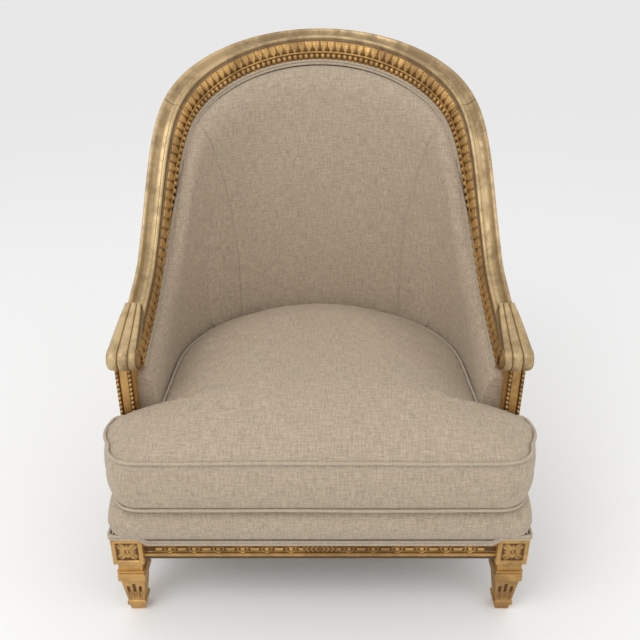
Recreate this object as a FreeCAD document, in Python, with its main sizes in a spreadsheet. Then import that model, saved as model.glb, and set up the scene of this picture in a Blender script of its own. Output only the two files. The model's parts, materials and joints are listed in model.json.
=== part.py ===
"""Carved and upholstered tub bergere chair, about 920 mm high.

X runs across the chair, Y from the front to the back, Z up. The origin is on the floor, in the
middle of the chair's outer box. The tub (arms and back) is a U in plan, with its own upright
frame that leans back over the seat: along is the way round the U from the middle of the back,
up is the height in the leaning frame, and inset is the depth inward from the outside face.
"""
import FreeCAD, Part
import math
import os
import re
import Sketcher

Vector = FreeCAD.Vector
Rotation = FreeCAD.Rotation
Placement = FreeCAD.Placement

DIMENSIONS = {
    # seat frame
    "seat_front": -352.5,
    "leg_spread": 322,
    "block_width": 52,
    "block_bottom": 116,
    "block_top": 170,
    "panel_width": 38,
    "panel_depth": 2.5,
    "rosette_radius": 15,
    "pearl_radius": 5,
    "rail_bottom": 126,
    "rail_top": 166,
    "rail_thick": 33,
    "rail_setback": 8,
    "rail_band": 8,
    "frieze_depth": 3,
    "seat_radius": 340,
    "tenon_thick": 12,
    "tenon_height": 24,
    "tenon_length": 18,
    # front legs
    "neck_half": 20.5,
    "collar_half": 23.2,
    "collar_groove_half": 21.5,
    "fillet_height": 3,
    "neck_bottom": 98,
    "collar_bottom": 78,
    "ogee_radius": 6,
    "shaft_top": 73,
    "shaft_top_half": 20,
    "shaft_foot": 22,
    "shaft_foot_half": 14,
    "foot_collar_half": 16,
    "foot_collar_height": 9,
    "foot_top_half": 13.5,
    "foot_half": 11.5,
    "flute_radius": 2.4,
    "flute_top": 69,
    "flute_bottom": 28,
    # back legs and stiles
    "back_leg_angle": 46,
    "back_block": 46,
    "back_leg_half": 22,
    "back_leg_middle_half": 18,
    "back_leg_middle": 60,
    "back_foot_half": 14,
    "back_foot_kick": 34,
    "stile_width": 44,
    "stile_thick": 25.4,
    "stile_inset": 4.5,
    "stile_top": 700,
    # tub
    "tub_radius": 337,
    "tub_centre": -52.5,
    "tub_pivot": 150,
    "tub_lean": 6.3,
    # top rail: crest arch, sweep down into the arms
    "crest_height": 815.3,
    "crest_arch_radius": 559,
    "arm_height": 397.4,
    "arm_slope": 0.522,
    "sweep_middle": 465.5,
    "sweep_length": 30.7,
    "rail_face": 70,
    "crest_joint": 380,
    "dowel_diameter": 8,
    "dowel_length": 50,
    "arm_rail_end": 722,
    # arm scrolls
    "scroll_start": -138.5,
    "scroll_start_height": 505,
    "scroll_centre": -228.5,
    "scroll_height": 443,
    "scroll_radius": 20,
    "scroll_eye": 5,
    "scroll_thick": 27,
    "scroll_start_outer": 338,
    "scroll_start_inner": 309,
    "scroll_outer": 348,
    "scroll_inner": 300,
    "reed_rise": 4,
    # arm posts
    "post_front": -227.5,
    "post_depth": 40,
    "post_inner": 316,
    "post_outer": 343,
    "post_top": 440,
    "post_channel": 13,
    "post_channel_depth": 3,
    # upholstery
    "pad_back_inset": 22,
    "pad_lip_inset": 29,
    "pad_face_inset": 56,
    "pad_bottom": 60,
    "pad_roll": 60,
    "pad_end": 735,
    "pad_front": -215.5,
    "seam_half_width": 196,
    "seam_straight": 280,
    "seam_top": 800,
    "seam_radius": 1015,
    "cover_inset": 0.6,
    "cover_thick": 2,
    "tacking_rail_height": 30,
    "tacking_rail_thick": 17,
    "welt_top": 63,
    "welt_lobe": 5.5,
    "deck_top": 235,
    "deck_shell": 2,
    "spring_top": 202,
    "spring_radius": 34,
    "spring_waist": 25,
    "spring_wire": 3.6,
    "spring_turns": 3,
    "block_face": 72,
    "webbing_width": 50,
    "webbing_thick": 2,
    "cushion_clear": 0.4,
    "cushion_slack": 4,
    "cushion_seam_low": 237,
    "cushion_bulge": 284,
    "cushion_seam_high": 331,
    "cushion_crown": 386,
    "cushion_shell": 3,
}

doc = FreeCAD.newDocument("bergere_chair")
sheet = doc.addObject("Spreadsheet::Sheet", "dims")
for row, (alias, size) in enumerate(DIMENSIONS.items(), start=1):
    sheet.set("A%d" % row, alias)
    sheet.set("B%d" % row, str(size))
    sheet.setAlias("B%d" % row, alias)
doc.recompute()


# Expressions and document objects

def named(expression):
    """Write an expression of sheet names so that other objects can read it."""
    return re.sub(r"\b(?!pi\b)([a-z][a-z_]*)\b(?!\()", r"dims.\1", str(expression))


def value(expression):
    return float(sheet.evalExpression(named(expression)))


def bind(item, **expressions):
    """Bind properties to the sheet; a double underscore stands for a dot."""
    for name, expression in expressions.items():
        item.setExpression(name.replace("__", "."), named(expression))
    return item


def bind_place(item, x="0", y="0", z="0"):
    item.setExpression("Placement.Base.x", named(x))
    item.setExpression("Placement.Base.y", named(y))
    item.setExpression("Placement.Base.z", named(z))
    return item


def draw_outline(sketch, corners):
    """Draw a closed outline of (x, y) corners. A third entry is the radius of an arc that ends
    at the corner: over zero it turns left, under zero it turns right."""
    spots = [Vector(value(corner[0]), value(corner[1]), 0) for corner in corners]
    ends = []
    for index, corner in enumerate(corners):
        start, end = spots[index - 1], spots[index]
        if len(corner) == 2:
            edge = sketch.addGeometry(Part.LineSegment(start, end))
            ends.append((edge, 1, 2))
            continue
        radius = value(corner[2])
        chord = end - start
        side = Vector(-chord.y, chord.x, 0).normalize() * math.copysign(1, radius)
        centre = (start + end) * 0.5 + side * math.sqrt(radius ** 2 - chord.Length ** 2 / 4)
        turns = [math.atan2(spot.y - centre.y, spot.x - centre.x) for spot in (start, end)]
        if radius < 0:
            turns.reverse()
        circle = Part.Circle(centre, Vector(0, 0, 1), abs(radius))
        edge = sketch.addGeometry(Part.ArcOfCircle(circle, *turns))
        ends.append((edge, 1, 2) if radius > 0 else (edge, 2, 1))
    for index, corner in enumerate(corners):
        edge, _, end = ends[index]
        following, start, _ = ends[(index + 1) % len(corners)]
        sketch.addConstraint(Sketcher.Constraint("Coincident", edge, end, following, start))
        for kind, expression in zip(("DistanceX", "DistanceY"), corner):
            rule = Sketcher.Constraint(kind, -1, 1, edge, end, value(expression))
            number = sketch.addConstraint(rule)
            sketch.setExpression("Constraints[%d]" % number, named(expression))
        if len(corner) == 3:
            rule = Sketcher.Constraint("Radius", edge, abs(value(corner[2])))
            number = sketch.addConstraint(rule)
            sketch.setExpression("Constraints[%d]" % number, "abs(%s)" % named(corner[2]))


def body_sketch(body, name, role, corners):
    """A bound outline on one of the body's own origin planes."""
    plane = [item for item in body.Origin.OriginFeatures if item.Role == role][0]
    sketch = body.newObject("Sketcher::SketchObject", name)
    sketch.AttachmentSupport = [(plane, "")]
    sketch.MapMode = "FlatFace"
    draw_outline(sketch, corners)
    return sketch


def free_sketch(name, corners, turn=Rotation()):
    sketch = doc.addObject("Sketcher::SketchObject", name)
    draw_outline(sketch, corners)
    sketch.Placement = Placement(Vector(), turn)
    return sketch


def extrusion(name, sketch, length, symmetric=False):
    item = doc.addObject("Part::Extrusion", name)
    item.Base = sketch
    item.DirMode = "Normal"
    item.Solid = True
    item.Symmetric = symmetric
    return bind(item, LengthFwd=length)


def box(name, x, y, z):
    """A box between two named sizes along each axis."""
    item = doc.addObject("Part::Box", name)
    bind(item, Length="(%s)-(%s)" % (x[1], x[0]), Width="(%s)-(%s)" % (y[1], y[0]),
         Height="(%s)-(%s)" % (z[1], z[0]))
    return bind_place(item, x[0], y[0], z[0])


def feature(name, shape, placement=Placement()):
    item = doc.addObject("Part::Feature", name)
    item.Shape = shape
    item.Placement = placement
    return item


def group(name, items):
    item = doc.addObject("Part::Compound", name)
    item.Links = items
    return item


def cut(name, base, *tools):
    item = doc.addObject("Part::Cut", name)
    item.Base = base
    item.Tool = tools[0] if len(tools) == 1 else fuse(name + "_tools", *tools)
    return item


def fuse(name, *items):
    item = doc.addObject("Part::MultiFuse", name)
    item.Shapes = list(items)
    return item


def common(name, first, second):
    item = doc.addObject("Part::Common", name)
    item.Base = first
    item.Tool = second
    return item


def mirrored(name, source):
    item = doc.addObject("Part::Mirroring", name)
    item.Source = source
    item.Normal = Vector(1, 0, 0)
    item.Base = Vector(0, 0, 0)
    return item


NODES = {}


def node(label, item):
    """Give a finished sub-part the label that names its file."""
    item.Label = label
    NODES[label] = item
    return item


def node_pair(label, right):
    """A sub-part on the right side and its mirror image on the left."""
    node(label + "_right", right)
    return node(label + "_left", mirrored(label + "_mirror", right))


# The tub

LEAN = Rotation(Vector(1, 0, 0), -value("tub_lean"))
TUB = Placement(Vector(0, value("tub_centre"), value("tub_pivot")), LEAN)
QUARTER = value("tub_radius*pi/2")


def rail_height(along):
    """Height of the top rail's outer edge: an arched crest that sweeps down into sloping arms."""
    along = abs(along)
    arm = value("arm_height") - value("arm_slope") * (along - QUARTER)
    arch = value("crest_height") - along ** 2 / (2 * value("crest_arch_radius"))
    fall = 1 / (1 + math.exp((along - value("sweep_middle")) / value("sweep_length")))
    return arm + (arch - arm) * fall


def rail_slope(along, step=0.5):
    return (rail_height(along + step) - rail_height(along - step)) / (2 * step)


def tub_point(along, up, inset):
    """A point on the U: round the back, then straight forward along the arm."""
    radius = value("tub_radius") - inset
    side = math.copysign(1, along)
    if abs(along) > QUARTER:
        return Vector(side * radius, QUARTER - abs(along), up)
    turn = along / value("tub_radius")
    return Vector(radius * math.sin(turn), radius * math.cos(turn), up)


def inward(along):
    """The level direction from the outside face into the tub."""
    return (tub_point(along, 0, 1) - tub_point(along, 0, 0)).normalize()


def rail_middle(along):
    """Distance along and height of the middle of the rail's face."""
    slope = rail_slope(along)
    reach = value("rail_face") / 2 / math.hypot(1, slope)
    return along + reach * slope, rail_height(along) - reach


def rail_point(along, inset, drop):
    """A point of the rail's section: inset from the outside, drop from the outer edge."""
    middle_along, middle_up = rail_middle(along)
    before = tub_point(*rail_middle(along - 1), 0)
    after = tub_point(*rail_middle(along + 1), 0)
    towards = inward(middle_along)
    rise = towards.cross((after - before).normalize())
    origin = tub_point(middle_along, middle_up, 0)
    return origin + towards * inset + rise * (value("rail_face") / 2 - drop)


def rail_foot(along, gap):
    """Where the rail's lower edge lies, a little below it: distance along and height."""
    slope = rail_slope(along)
    share = math.hypot(1, slope)
    reach = value("rail_face") + gap
    return along + reach * slope / share, rail_height(along) - reach / share


def round_points(start, middle, end, flats):
    """Points after the first of a round stretch through three points, laid in even flats."""
    (ax, ay), (bx, by), (cx, cy) = start, middle, end
    twice = 2 * (ax * (by - cy) + bx * (cy - ay) + cx * (ay - by))
    squares = [x * x + y * y for x, y in (start, middle, end)]
    x = (squares[0] * (by - cy) + squares[1] * (cy - ay) + squares[2] * (ay - by)) / twice
    y = (squares[0] * (cx - bx) + squares[1] * (ax - cx) + squares[2] * (bx - ax)) / twice
    radius = math.hypot(ax - x, ay - y)
    first, half, last = [math.atan2(py - y, px - x) for px, py in (start, middle, end)]
    sweep = math.remainder(half - first, 2 * math.pi) + math.remainder(last - half, 2 * math.pi)
    points = []
    for step in range(1, flats + 1):
        turn = first + sweep * step / flats
        points.append((x + radius * math.cos(turn), y + radius * math.sin(turn)))
    return points


def section_points(section):
    """Corners of a section. An entry of three is a round stretch: middle, end, number of flats."""
    points = [section[0]]
    for entry in section[1:]:
        if len(entry) == 3:
            points += round_points(points[-1], *entry)
        else:
            points.append(entry)
    return points


def section_ring(section, place):
    return [place(*point) for point in section_points(section)]


def ruled_loft(rings):
    """Solid with a ruled face from each side of a ring of points to the next ring's."""
    return Part.makeLoft([Part.makePolygon(ring + ring[:1]) for ring in rings], True, True)


def facet(*corners):
    return Part.Face(Part.makePolygon(list(corners) + [corners[0]]))


def faceted_sweep(rings):
    """Solid of flat facets from ring to ring of points, closed at its first and last ring."""
    faces = [facet(*rings[0]), facet(*rings[-1])]
    for near, far in zip(rings, rings[1:]):
        for first in range(len(near)):
            second = (first + 1) % len(near)
            faces.append(facet(near[first], near[second], far[first]))
            faces.append(facet(near[second], far[second], far[first]))
    shell = Part.Shell(faces)
    shell.sewShape()
    solid = Part.Solid(shell)
    return solid if solid.Volume > 0 else solid.reversed()


def steps(first, last, pace):
    count = max(2, round(abs(last - first) / pace))
    return [first + (last - first) * step / count for step in range(count + 1)]


def rail_loft(section, stations):
    rings = []
    for along in stations:
        rings.append(section_ring(section, lambda inset, drop: rail_point(along, inset, drop)))
    return ruled_loft(rings)


RAIL_FACE = value("rail_face")
RAIL_SECTION = [
    (0, RAIL_FACE),
    (0, 5),
    ((3.5, 0.5), (7, 4), 2),
    ((12.5, 12.8), (22, 17), 3),
    ((26.5, 15.5), (29, 20), 2),
    ((28.6, 24.5), (31, 27), 2),
    ((34.5, 36), (35, 46), 2),
    (35, 50),
    (33.5, 50),
    ((37, 56.5), (33.5, 63), 3),
    (30, 63),
    (30, RAIL_FACE),
]


# Seat frame

def leg_profile():
    """Half widths of the square leg from the foot up, as corners of its elevation."""
    right = [
        ("foot_half", "0"),
        ("foot_top_half", "shaft_foot-1-foot_collar_height"),
        ("foot_collar_half", "shaft_foot-foot_collar_height"),
        ("foot_collar_half", "shaft_foot-1"),
        ("shaft_foot_half", "shaft_foot"),
        ("shaft_top_half", "shaft_top"),
        ("collar_half", "collar_bottom", "ogee_radius"),
        ("collar_half", "neck_bottom-3*fillet_height"),
        ("collar_half", "neck_bottom-2*fillet_height"),
        ("collar_groove_half", "neck_bottom-2*fillet_height"),
        ("collar_groove_half", "neck_bottom-fillet_height"),
        ("collar_half", "neck_bottom-fillet_height"),
        ("collar_half", "neck_bottom"),
        ("neck_half", "neck_bottom"),
        ("neck_half", "block_bottom"),
    ]
    left = [("-" + right[0][0], right[0][1])]
    for index in range(1, len(right)):
        corner = ("-" + right[index][0], right[index][1])
        if len(right[index]) == 3:
            corner += ("-" + right[index][2],)
        left.append(corner)
    outline = list(right)
    for index in range(len(left) - 1, -1, -1):
        corner = left[index][:2]
        following = left[index + 1] if index + 1 < len(left) else ()
        if len(following) == 3:
            corner += (right[index + 1][2],)
        outline.append(corner)
    return outline


def front_leg():
    """Square tapered leg: one elevation cut from both faces, then fluted, under a square block."""
    upright = Rotation(Vector(1, 0, 0), 90)
    face = free_sketch("leg_face", leg_profile(), upright)
    side = free_sketch("leg_side", leg_profile(), Rotation(Vector(0, 0, 1), 90) * upright)
    turned = common("leg_turned", extrusion("leg_across", face, "2*block_width", True),
                    extrusion("leg_along", side, "2*block_width", True))
    flutes = []
    drop = value("shaft_top-shaft_foot")
    taper = value("shaft_top_half-shaft_foot_half")
    foot_out = value("shaft_foot_half") + taper * value("flute_bottom-shaft_foot") / drop
    top_out = value("shaft_foot_half") + taper * value("flute_top-shaft_foot") / drop
    for quarter in range(4):
        turn = Placement(Vector(), Rotation(Vector(0, 0, 1), 90 * quarter))
        for column in (-1, 0, 1):
            groove = doc.addObject("Part::Cylinder", "flute")
            bind(groove, Radius="flute_radius", Height="flute_top-flute_bottom")
            foot = Vector(foot_out + 0.4, column * foot_out * 0.6, value("flute_bottom"))
            top = Vector(top_out + 0.4, column * top_out * 0.6, value("flute_top"))
            groove.Placement = turn * Placement(foot, Rotation(Vector(0, 0, 1), top - foot))
            flutes.append(groove)
    fluted = cut("leg_fluted", turned, *flutes)
    half = "block_width/2"
    block = box("leg_block", ("-" + half, half), ("-" + half, half), ("block_bottom", "block_top"))
    panel = ("(block_bottom+block_top-panel_width)/2", "(block_bottom+block_top+panel_width)/2")
    front_panel = box("front_panel", ("-panel_width/2", "panel_width/2"),
                      ("-block_width/2-1", "-block_width/2+panel_depth"), panel)
    side_panel = box("side_panel", ("block_width/2-panel_depth", "block_width/2+1"),
                     ("-panel_width/2", "panel_width/2"), panel)
    rosettes = []
    middle = value("(block_bottom+block_top)/2")
    reach = value("block_width/2-panel_depth")
    for direction in (Vector(0, -1, 0), Vector(1, 0, 0)):
        seat = Placement(direction * reach + Vector(0, 0, middle), Rotation(Vector(0, 0, 1), direction))
        for radius, height in (("rosette_radius", "panel_depth-0.8"), ("pearl_radius", "panel_depth")):
            boss = doc.addObject("Part::Cylinder", "rosette")
            bind(boss, Radius=radius, Height=height)
            boss.Placement = seat
            rosettes.append(boss)
    sunk = cut("leg_block_sunk", block, front_panel, side_panel)
    leg = fuse("leg_whole", fluted, sunk, *rosettes)
    placed = group("front_leg_placed", [leg])
    return bind_place(placed, "leg_spread", "seat_front+block_width/2")


RAIL_PROFILE = [
    ("rail_thick", "rail_bottom"),
    ("rail_thick", "rail_top"),
    ("2", "rail_top"),
    ("2", "rail_top-rail_band"),
    ("frieze_depth+1", "rail_top-rail_band-2"),
    ("frieze_depth+1", "rail_bottom+rail_band+1"),
    ("0", "rail_bottom+rail_band-1"),
    ("0", "rail_bottom+1"),
    ("1", "rail_bottom"),
]


def front_rail():
    body = doc.addObject("PartDesign::Body", "front_rail_body")
    face = "seat_front+rail_setback"
    corners = [("(%s)+(%s)" % (face, corner[0]),) + corner[1:] for corner in RAIL_PROFILE]
    profile = body_sketch(body, "front_rail_profile", "YZ_Plane", corners)
    pad = body.newObject("PartDesign::Pad", "front_rail_pad")
    pad.Profile = profile
    pad.Midplane = True
    bind(pad, Length="2*leg_spread-block_width")
    tenon_low = "(rail_bottom+rail_top-tenon_height)/2"
    tenon_high = "(rail_bottom+rail_top+tenon_height)/2"
    near = "seat_front+block_width/2-tenon_thick/2"
    far = "seat_front+block_width/2+tenon_thick/2"
    section = [(near, tenon_low), (far, tenon_low), (far, tenon_high), (near, tenon_high)]
    tongue = body_sketch(body, "front_rail_tenon", "YZ_Plane", section)
    tenons = body.newObject("PartDesign::Pad", "front_rail_tenons")
    tenons.Profile = tongue
    tenons.Midplane = True
    bind(tenons, Length="2*leg_spread-block_width+2*tenon_length")
    return body


def ring_rail(name, outer, profile, start, sweep, straight=None):
    """A rail bent round the tub: its section turned about the tub's centre, and run forward."""
    body = doc.addObject("PartDesign::Body", name)
    corners = []
    for corner in profile:
        bent = ("(%s)-(%s)" % (outer, corner[0]), corner[1])
        if len(corner) == 3:
            bent += ("-(%s)" % corner[2],)
        corners.append(bent)
    sketch = body_sketch(body, name + "_profile", "XZ_Plane", corners)
    turned = body.newObject("PartDesign::Revolution", name + "_turned")
    turned.Profile = sketch
    turned.ReferenceAxis = (sketch, ["V_Axis"])
    bind(turned, Angle=sweep)
    if straight:
        run = body.newObject("PartDesign::Pad", name + "_run")
        run.Profile = sketch
        bind(run, Length=straight)
    body.Placement = Placement(Vector(0, value("tub_centre"), 0),
                               Rotation(Vector(0, 0, 1), value(start)))
    return body


def back_leg_frame(angle):
    """Placement of a back leg: X points out from the tub's centre, at an angle from the back."""
    turn = Rotation(Vector(0, 0, 1), 90 - angle)
    return Placement(Vector(0, value("tub_centre"), 0), turn)


def square_wire(middle, half, height):
    corners = [(middle - half, -half), (middle + half, -half), (middle + half, half),
               (middle - half, half)]
    return Part.makePolygon([Vector(x, y, height) for x, y in corners + corners[:1]])


def back_leg_parts():
    """Raked square leg, its block, and the leaning stile that runs up to the crest."""
    angle = value("back_leg_angle")
    frame = back_leg_frame(angle)
    radius = value("seat_radius-back_block/2")
    block_half = value("back_block/2")
    levels = [
        (radius, value("back_leg_half"), value("block_bottom")),
        (radius + value("back_foot_kick") / 4, value("back_leg_middle_half"), value("back_leg_middle")),
        (radius + value("back_foot_kick"), value("back_foot_half"), 0),
    ]
    leg = feature("back_leg_shaft", Part.makeLoft([square_wire(*level) for level in levels], True),
                  frame)
    bottom, top = value("block_bottom"), value("block_top")
    block_shape = Part.makeBox(2 * block_half, 2 * block_half, top - bottom,
                               Vector(radius - block_half, -block_half, bottom))
    block = feature("back_leg_block", block_shape, frame)
    lean_frame = TUB * Placement(Vector(), Rotation(Vector(0, 0, 1), 90 - angle))
    outside = value("tub_radius-stile_inset")
    width, thick = value("stile_width"), value("stile_thick")
    stile_shape = Part.makeBox(thick, width, value("stile_top"),
                               Vector(outside - thick, -width / 2, 0))
    stile = feature("back_stile_whole", stile_shape, lean_frame)
    tenon_shape = Part.makeBox(value("tenon_thick"), value("tenon_height"), value("stile_top"),
                               Vector(outside - value("stile_thick/2+tenon_thick/2"),
                                      -value("tenon_height/2"), 0))
    below = box("below_stile", ("0", "2*seat_radius"), ("0", "2*seat_radius"), ("-1", "block_top-1"))
    stile = cut("back_stile", stile, below)
    tenon = feature("stile_tenon", tenon_shape, lean_frame)
    return leg, block, stile, tenon


def seat_plan(name, inset, front, low, high):
    """The U of the seat as a flat plate: straight sides, half round back."""
    radius = "(seat_radius-(%s))" % inset
    nose = "(seat_front+(%s))" % front
    corners = [
        ("-" + radius, nose),
        (radius, nose),
        (radius, "tub_centre"),
        ("0", "tub_centre+" + radius, radius),
        ("-" + radius, "tub_centre", radius),
    ]
    body = doc.addObject("PartDesign::Body", name + "_body")
    sketch = body_sketch(body, name + "_plan", "XY_Plane", corners)
    pad = body.newObject("PartDesign::Pad", name + "_pad")
    pad.Profile = sketch
    bind(pad, Length="(%s)-(%s)" % (high, low))
    return bind_place(body, z=low)


def webbing_strips(name, role, first, last, count, low):
    """Parallel jute strips: one strip, repeated across the seat."""
    body = doc.addObject("PartDesign::Body", name + "_body")
    half = "webbing_width/2"
    if role == "along":
        corners = [("(%s)-%s" % (first, half), "-2*seat_radius"), ("(%s)+%s" % (first, half), "-2*seat_radius"),
                   ("(%s)+%s" % (first, half), "2*seat_radius"), ("(%s)-%s" % (first, half), "2*seat_radius")]
    else:
        corners = [("-2*seat_radius", "(%s)-%s" % (first, half)), ("2*seat_radius", "(%s)-%s" % (first, half)),
                   ("2*seat_radius", "(%s)+%s" % (first, half)), ("-2*seat_radius", "(%s)+%s" % (first, half))]
    sketch = body_sketch(body, name + "_strip", "XY_Plane", corners)
    strip = body.newObject("PartDesign::Pad", name + "_pad")
    strip.Profile = sketch
    bind(strip, Length="webbing_thick")
    pattern = body.newObject("PartDesign::LinearPattern", name + "_pattern")
    pattern.Originals = [strip]
    pattern.Direction = (sketch, ["H_Axis" if role == "along" else "V_Axis"])
    bind(pattern, Length="(%s)-(%s)" % (last, first))
    pattern.Occurrences = count
    body.Tip = pattern
    return bind_place(body, z=low)


def front_corner_block():
    """Glued block that braces the front rail and a side rail, notched round the leg."""
    inner_rail = "(seat_radius-rail_thick)"
    back_face = "(seat_front+rail_setback+rail_thick)"
    plan = [
        (inner_rail + "-block_face", back_face),
        ("leg_spread-block_width/2", back_face),
        ("leg_spread-block_width/2", "seat_front+block_width"),
        (inner_rail, "seat_front+block_width"),
        (inner_rail, back_face + "+block_face"),
    ]
    body = doc.addObject("PartDesign::Body", "front_corner_block_body")
    sketch = body_sketch(body, "front_corner_block_plan", "XY_Plane", plan)
    pad = body.newObject("PartDesign::Pad", "front_corner_block_pad")
    pad.Profile = sketch
    bind(pad, Length="rail_top-rail_bottom-8")
    return bind_place(body, z="rail_bottom+4")


# Arms

def scroll_ring(progress, centre, out, thick):
    """Section of the arm scroll: three reeds over a flat back, fanning out towards the front.
    out is the direction from the back to the reeds, in the upright plane."""
    outer = value("scroll_start_outer") + progress * value("scroll_outer-scroll_start_outer")
    inner = value("scroll_start_inner") + progress * value("scroll_inner-scroll_start_inner")
    width = outer - inner
    cusps = [inner, inner + 0.28 * width, inner + 0.64 * width, outer]
    rise = value("reed_rise")
    section = [(inner, 0), (inner, thick - rise)]
    for left, right in zip(cusps, cusps[1:]):
        section.append((((left + right) / 2, thick), (right, thick - rise), 4))
    section.append((outer, 0))

    def place(across, height):
        return centre + Vector(across, 0, 0) + out * height

    return section_ring(section, place)


def arm_scroll():
    """Reeded arm end: straight down the slope, then rolled forward and under round its eye."""
    radius = value("scroll_radius")
    eye = Vector(0, value("scroll_centre"), value("scroll_height"))
    start = Vector(0, value("scroll_start"), value("scroll_start_height"))
    reach = start - eye
    distance = math.hypot(reach.y, reach.z)
    slope = math.atan2(reach.z, reach.y) - math.asin(radius / distance)
    normal = Vector(0, -math.sin(slope), math.cos(slope))
    length = math.sqrt(distance ** 2 - radius ** 2)
    down = Vector(0, -math.cos(slope), -math.sin(slope))
    thick = value("scroll_thick")
    rings = []
    for share in (0, 0.25, 0.5, 0.75):
        depth = thick + (radius - 1 - thick) * share
        foot = start + down * (length * share) - normal * depth
        rings.append(scroll_ring(share, foot, normal, depth))
    for turn in range(0, 271, 30):
        spin = Rotation(Vector(1, 0, 0), turn)
        out = spin.multVec(normal)
        rings.append(scroll_ring(1, eye + out, out, radius - 1))
    rolled = ruled_loft(rings)
    core = Part.makeCylinder(radius * 0.55, value("scroll_outer-scroll_inner"),
                             Vector(value("scroll_inner"), eye.y, eye.z), Vector(1, 0, 0))
    knob = Part.makeCylinder(value("scroll_eye"), value("scroll_outer-scroll_inner+4"),
                             Vector(value("scroll_inner-2"), eye.y, eye.z), Vector(1, 0, 0))
    return rolled.fuse([core, knob])


def arm_post():
    body = doc.addObject("PartDesign::Body", "arm_post_body")
    back = "post_front+post_depth"
    plan = [("post_inner", "post_front"), ("post_outer", "post_front"),
            ("post_outer", back), ("post_inner", back)]
    sketch = body_sketch(body, "arm_post_plan", "XY_Plane", plan)
    pad = body.newObject("PartDesign::Pad", "arm_post_pad")
    pad.Profile = sketch
    bind(pad, Length="post_top")
    middle = "(post_inner+post_outer)/2"
    low = ("(%s)-post_channel/2" % middle, "(%s)+post_channel/2" % middle)
    channel = [(low[0], "post_front-1"), (low[1], "post_front-1"),
               (low[1], "post_front+post_channel_depth"), (low[0], "post_front+post_channel_depth")]
    doc.recompute()
    channel_sketch = body_sketch(body, "arm_post_channel", "XY_Plane", channel)
    pocket = body.newObject("PartDesign::Pocket", "arm_post_pocket")
    pocket.Profile = channel_sketch
    pocket.Type = "ThroughAll"
    pocket.Reversed = True
    return body


# Upholstery

def pad_section(along):
    """Upright section of the tub's inside padding under the rail."""
    spot, top = rail_foot(along, 0.4)
    low = value("pad_bottom")
    back, lip, face = value("pad_back_inset"), value("pad_lip_inset"), value("pad_face_inset")
    lip_top = top - 12 / math.hypot(1, rail_slope(along))
    roll = min(value("pad_roll"), (lip_top - low) * 0.6)
    middle = (lip + (face - lip) * 0.75, lip_top - roll * 0.3)
    section = [(back, low), (back, top), (lip, top), (lip, lip_top),
               (middle, (face, lip_top - roll), 4), (face, low)]
    return section_ring(section, lambda inset, up: tub_point(spot, up, inset))


def inside_padding():
    """One band of padding from arm to arm, a loft of upright sections."""
    right = steps(0, 380, 38) + steps(380, 540, 20)[1:] + steps(540, value("pad_end"), 40)[1:]
    stations = [-along for along in reversed(right[1:])] + right
    return ruled_loft([pad_section(along) for along in stations])


def tee_ring(plan, height):
    """Outline of the T shaped seat: ears in front of the arm posts, a tail inside the tub."""
    front, ear, ear_end, stop, neck, centre = plan
    corner, heel, crook = 26, 14, 7
    bow = 4
    diagonal = 1 - math.sqrt(0.5)
    ear_middle = ((ear + ear_end) / 2 + bow, (front + stop) / 2)
    half_turn = (neck * math.sqrt(0.5), centre + neck * math.sqrt(0.5))
    section = [
        (ear - corner, front),
        ((ear - corner * diagonal, front + corner * diagonal), (ear, front + corner), 3),
        (ear_middle, (ear_end, stop - heel), 2),
        ((ear_end - heel * diagonal, stop - heel * diagonal), (ear_end - heel, stop), 2),
        (neck + crook, stop),
        ((neck + crook * diagonal, stop + crook * diagonal), (neck, stop + crook), 2),
        (neck, centre),
        (half_turn, (0, centre + neck), 7),
    ]
    right = section_points(section)
    left = [(-x, y) for x, y in reversed(right[:-1])]
    return section_ring(right + left, lambda x, y: Vector(x, y, height))


def tee_loft(levels, shrink=0.0):
    """Loft of T outlines; shrink draws every side in by the same amount."""
    rings = []
    for height, front, ear, ear_end, stop, neck, centre in levels:
        plan = (front + shrink, ear - shrink, ear_end - shrink, stop - shrink, neck - shrink, centre)
        rings.append(tee_ring(plan, height))
    return faceted_sweep(rings)


def tub_middle(height):
    """How far back the leaning tub's centre lies at a height above the floor."""
    lean = math.tan(math.radians(value("tub_lean")))
    return value("tub_centre") + (height - value("tub_pivot")) * lean


def deck_levels(skin=0.0):
    """Fixed seat: it swells over the front rail and the corner blocks."""
    front, low, high = value("seat_front"), value("rail_top"), value("deck_top")
    neck = value("tub_radius-pad_face_inset-2")
    stop = value("post_front-1")
    swell = (low + high) / 2
    return [
        (low, front + 6, 340, 342, stop, neck, tub_middle(low)),
        (swell, front - 9, 349, 351, stop, neck, tub_middle(swell)),
        (high - 8, front - 3, 346, 348, stop, neck, tub_middle(high - 8)),
        (high - skin, front + 6, 337, 339, stop - 5, neck - 5, tub_middle(high)),
    ]


def cushion_levels(skin=0.0):
    """Loose seat cushion: boxed sides that bulge between two seams, and a crown on top."""
    front = value("seat_front")
    stop = value("post_front-3")
    neck = value("tub_radius-pad_face_inset-cushion_slack")
    base = value("deck_top+cushion_clear")
    centre = tub_middle(base)
    low, bulge, high = value("cushion_seam_low"), value("cushion_bulge"), value("cushion_seam_high")
    crown = value("cushion_crown")
    outer = (front - 14, 334, 347, stop, neck, centre)
    inner = (front + 66, 190, 198, stop - 4, 150, centre)

    def blend(share, height):
        plan = [start + (end - start) * share for start, end in zip(outer, inner)]
        return (high - skin + (crown - high) * height,) + tuple(plan)

    return [
        (base + skin, front - 1, 326, 338, stop - 8, neck - 8, centre),
        (low + 6, front - 8, 333, 345, stop, neck, centre),
        (bulge, front - 20, 346, 358, stop, neck, centre),
        (high - 6, front - 16, 336, 349, stop, neck, centre),
        blend(0.04, 0.1),
        blend(0.2, 0.45),
        blend(0.5, 0.8),
        blend(1, 1),
    ]


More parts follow.
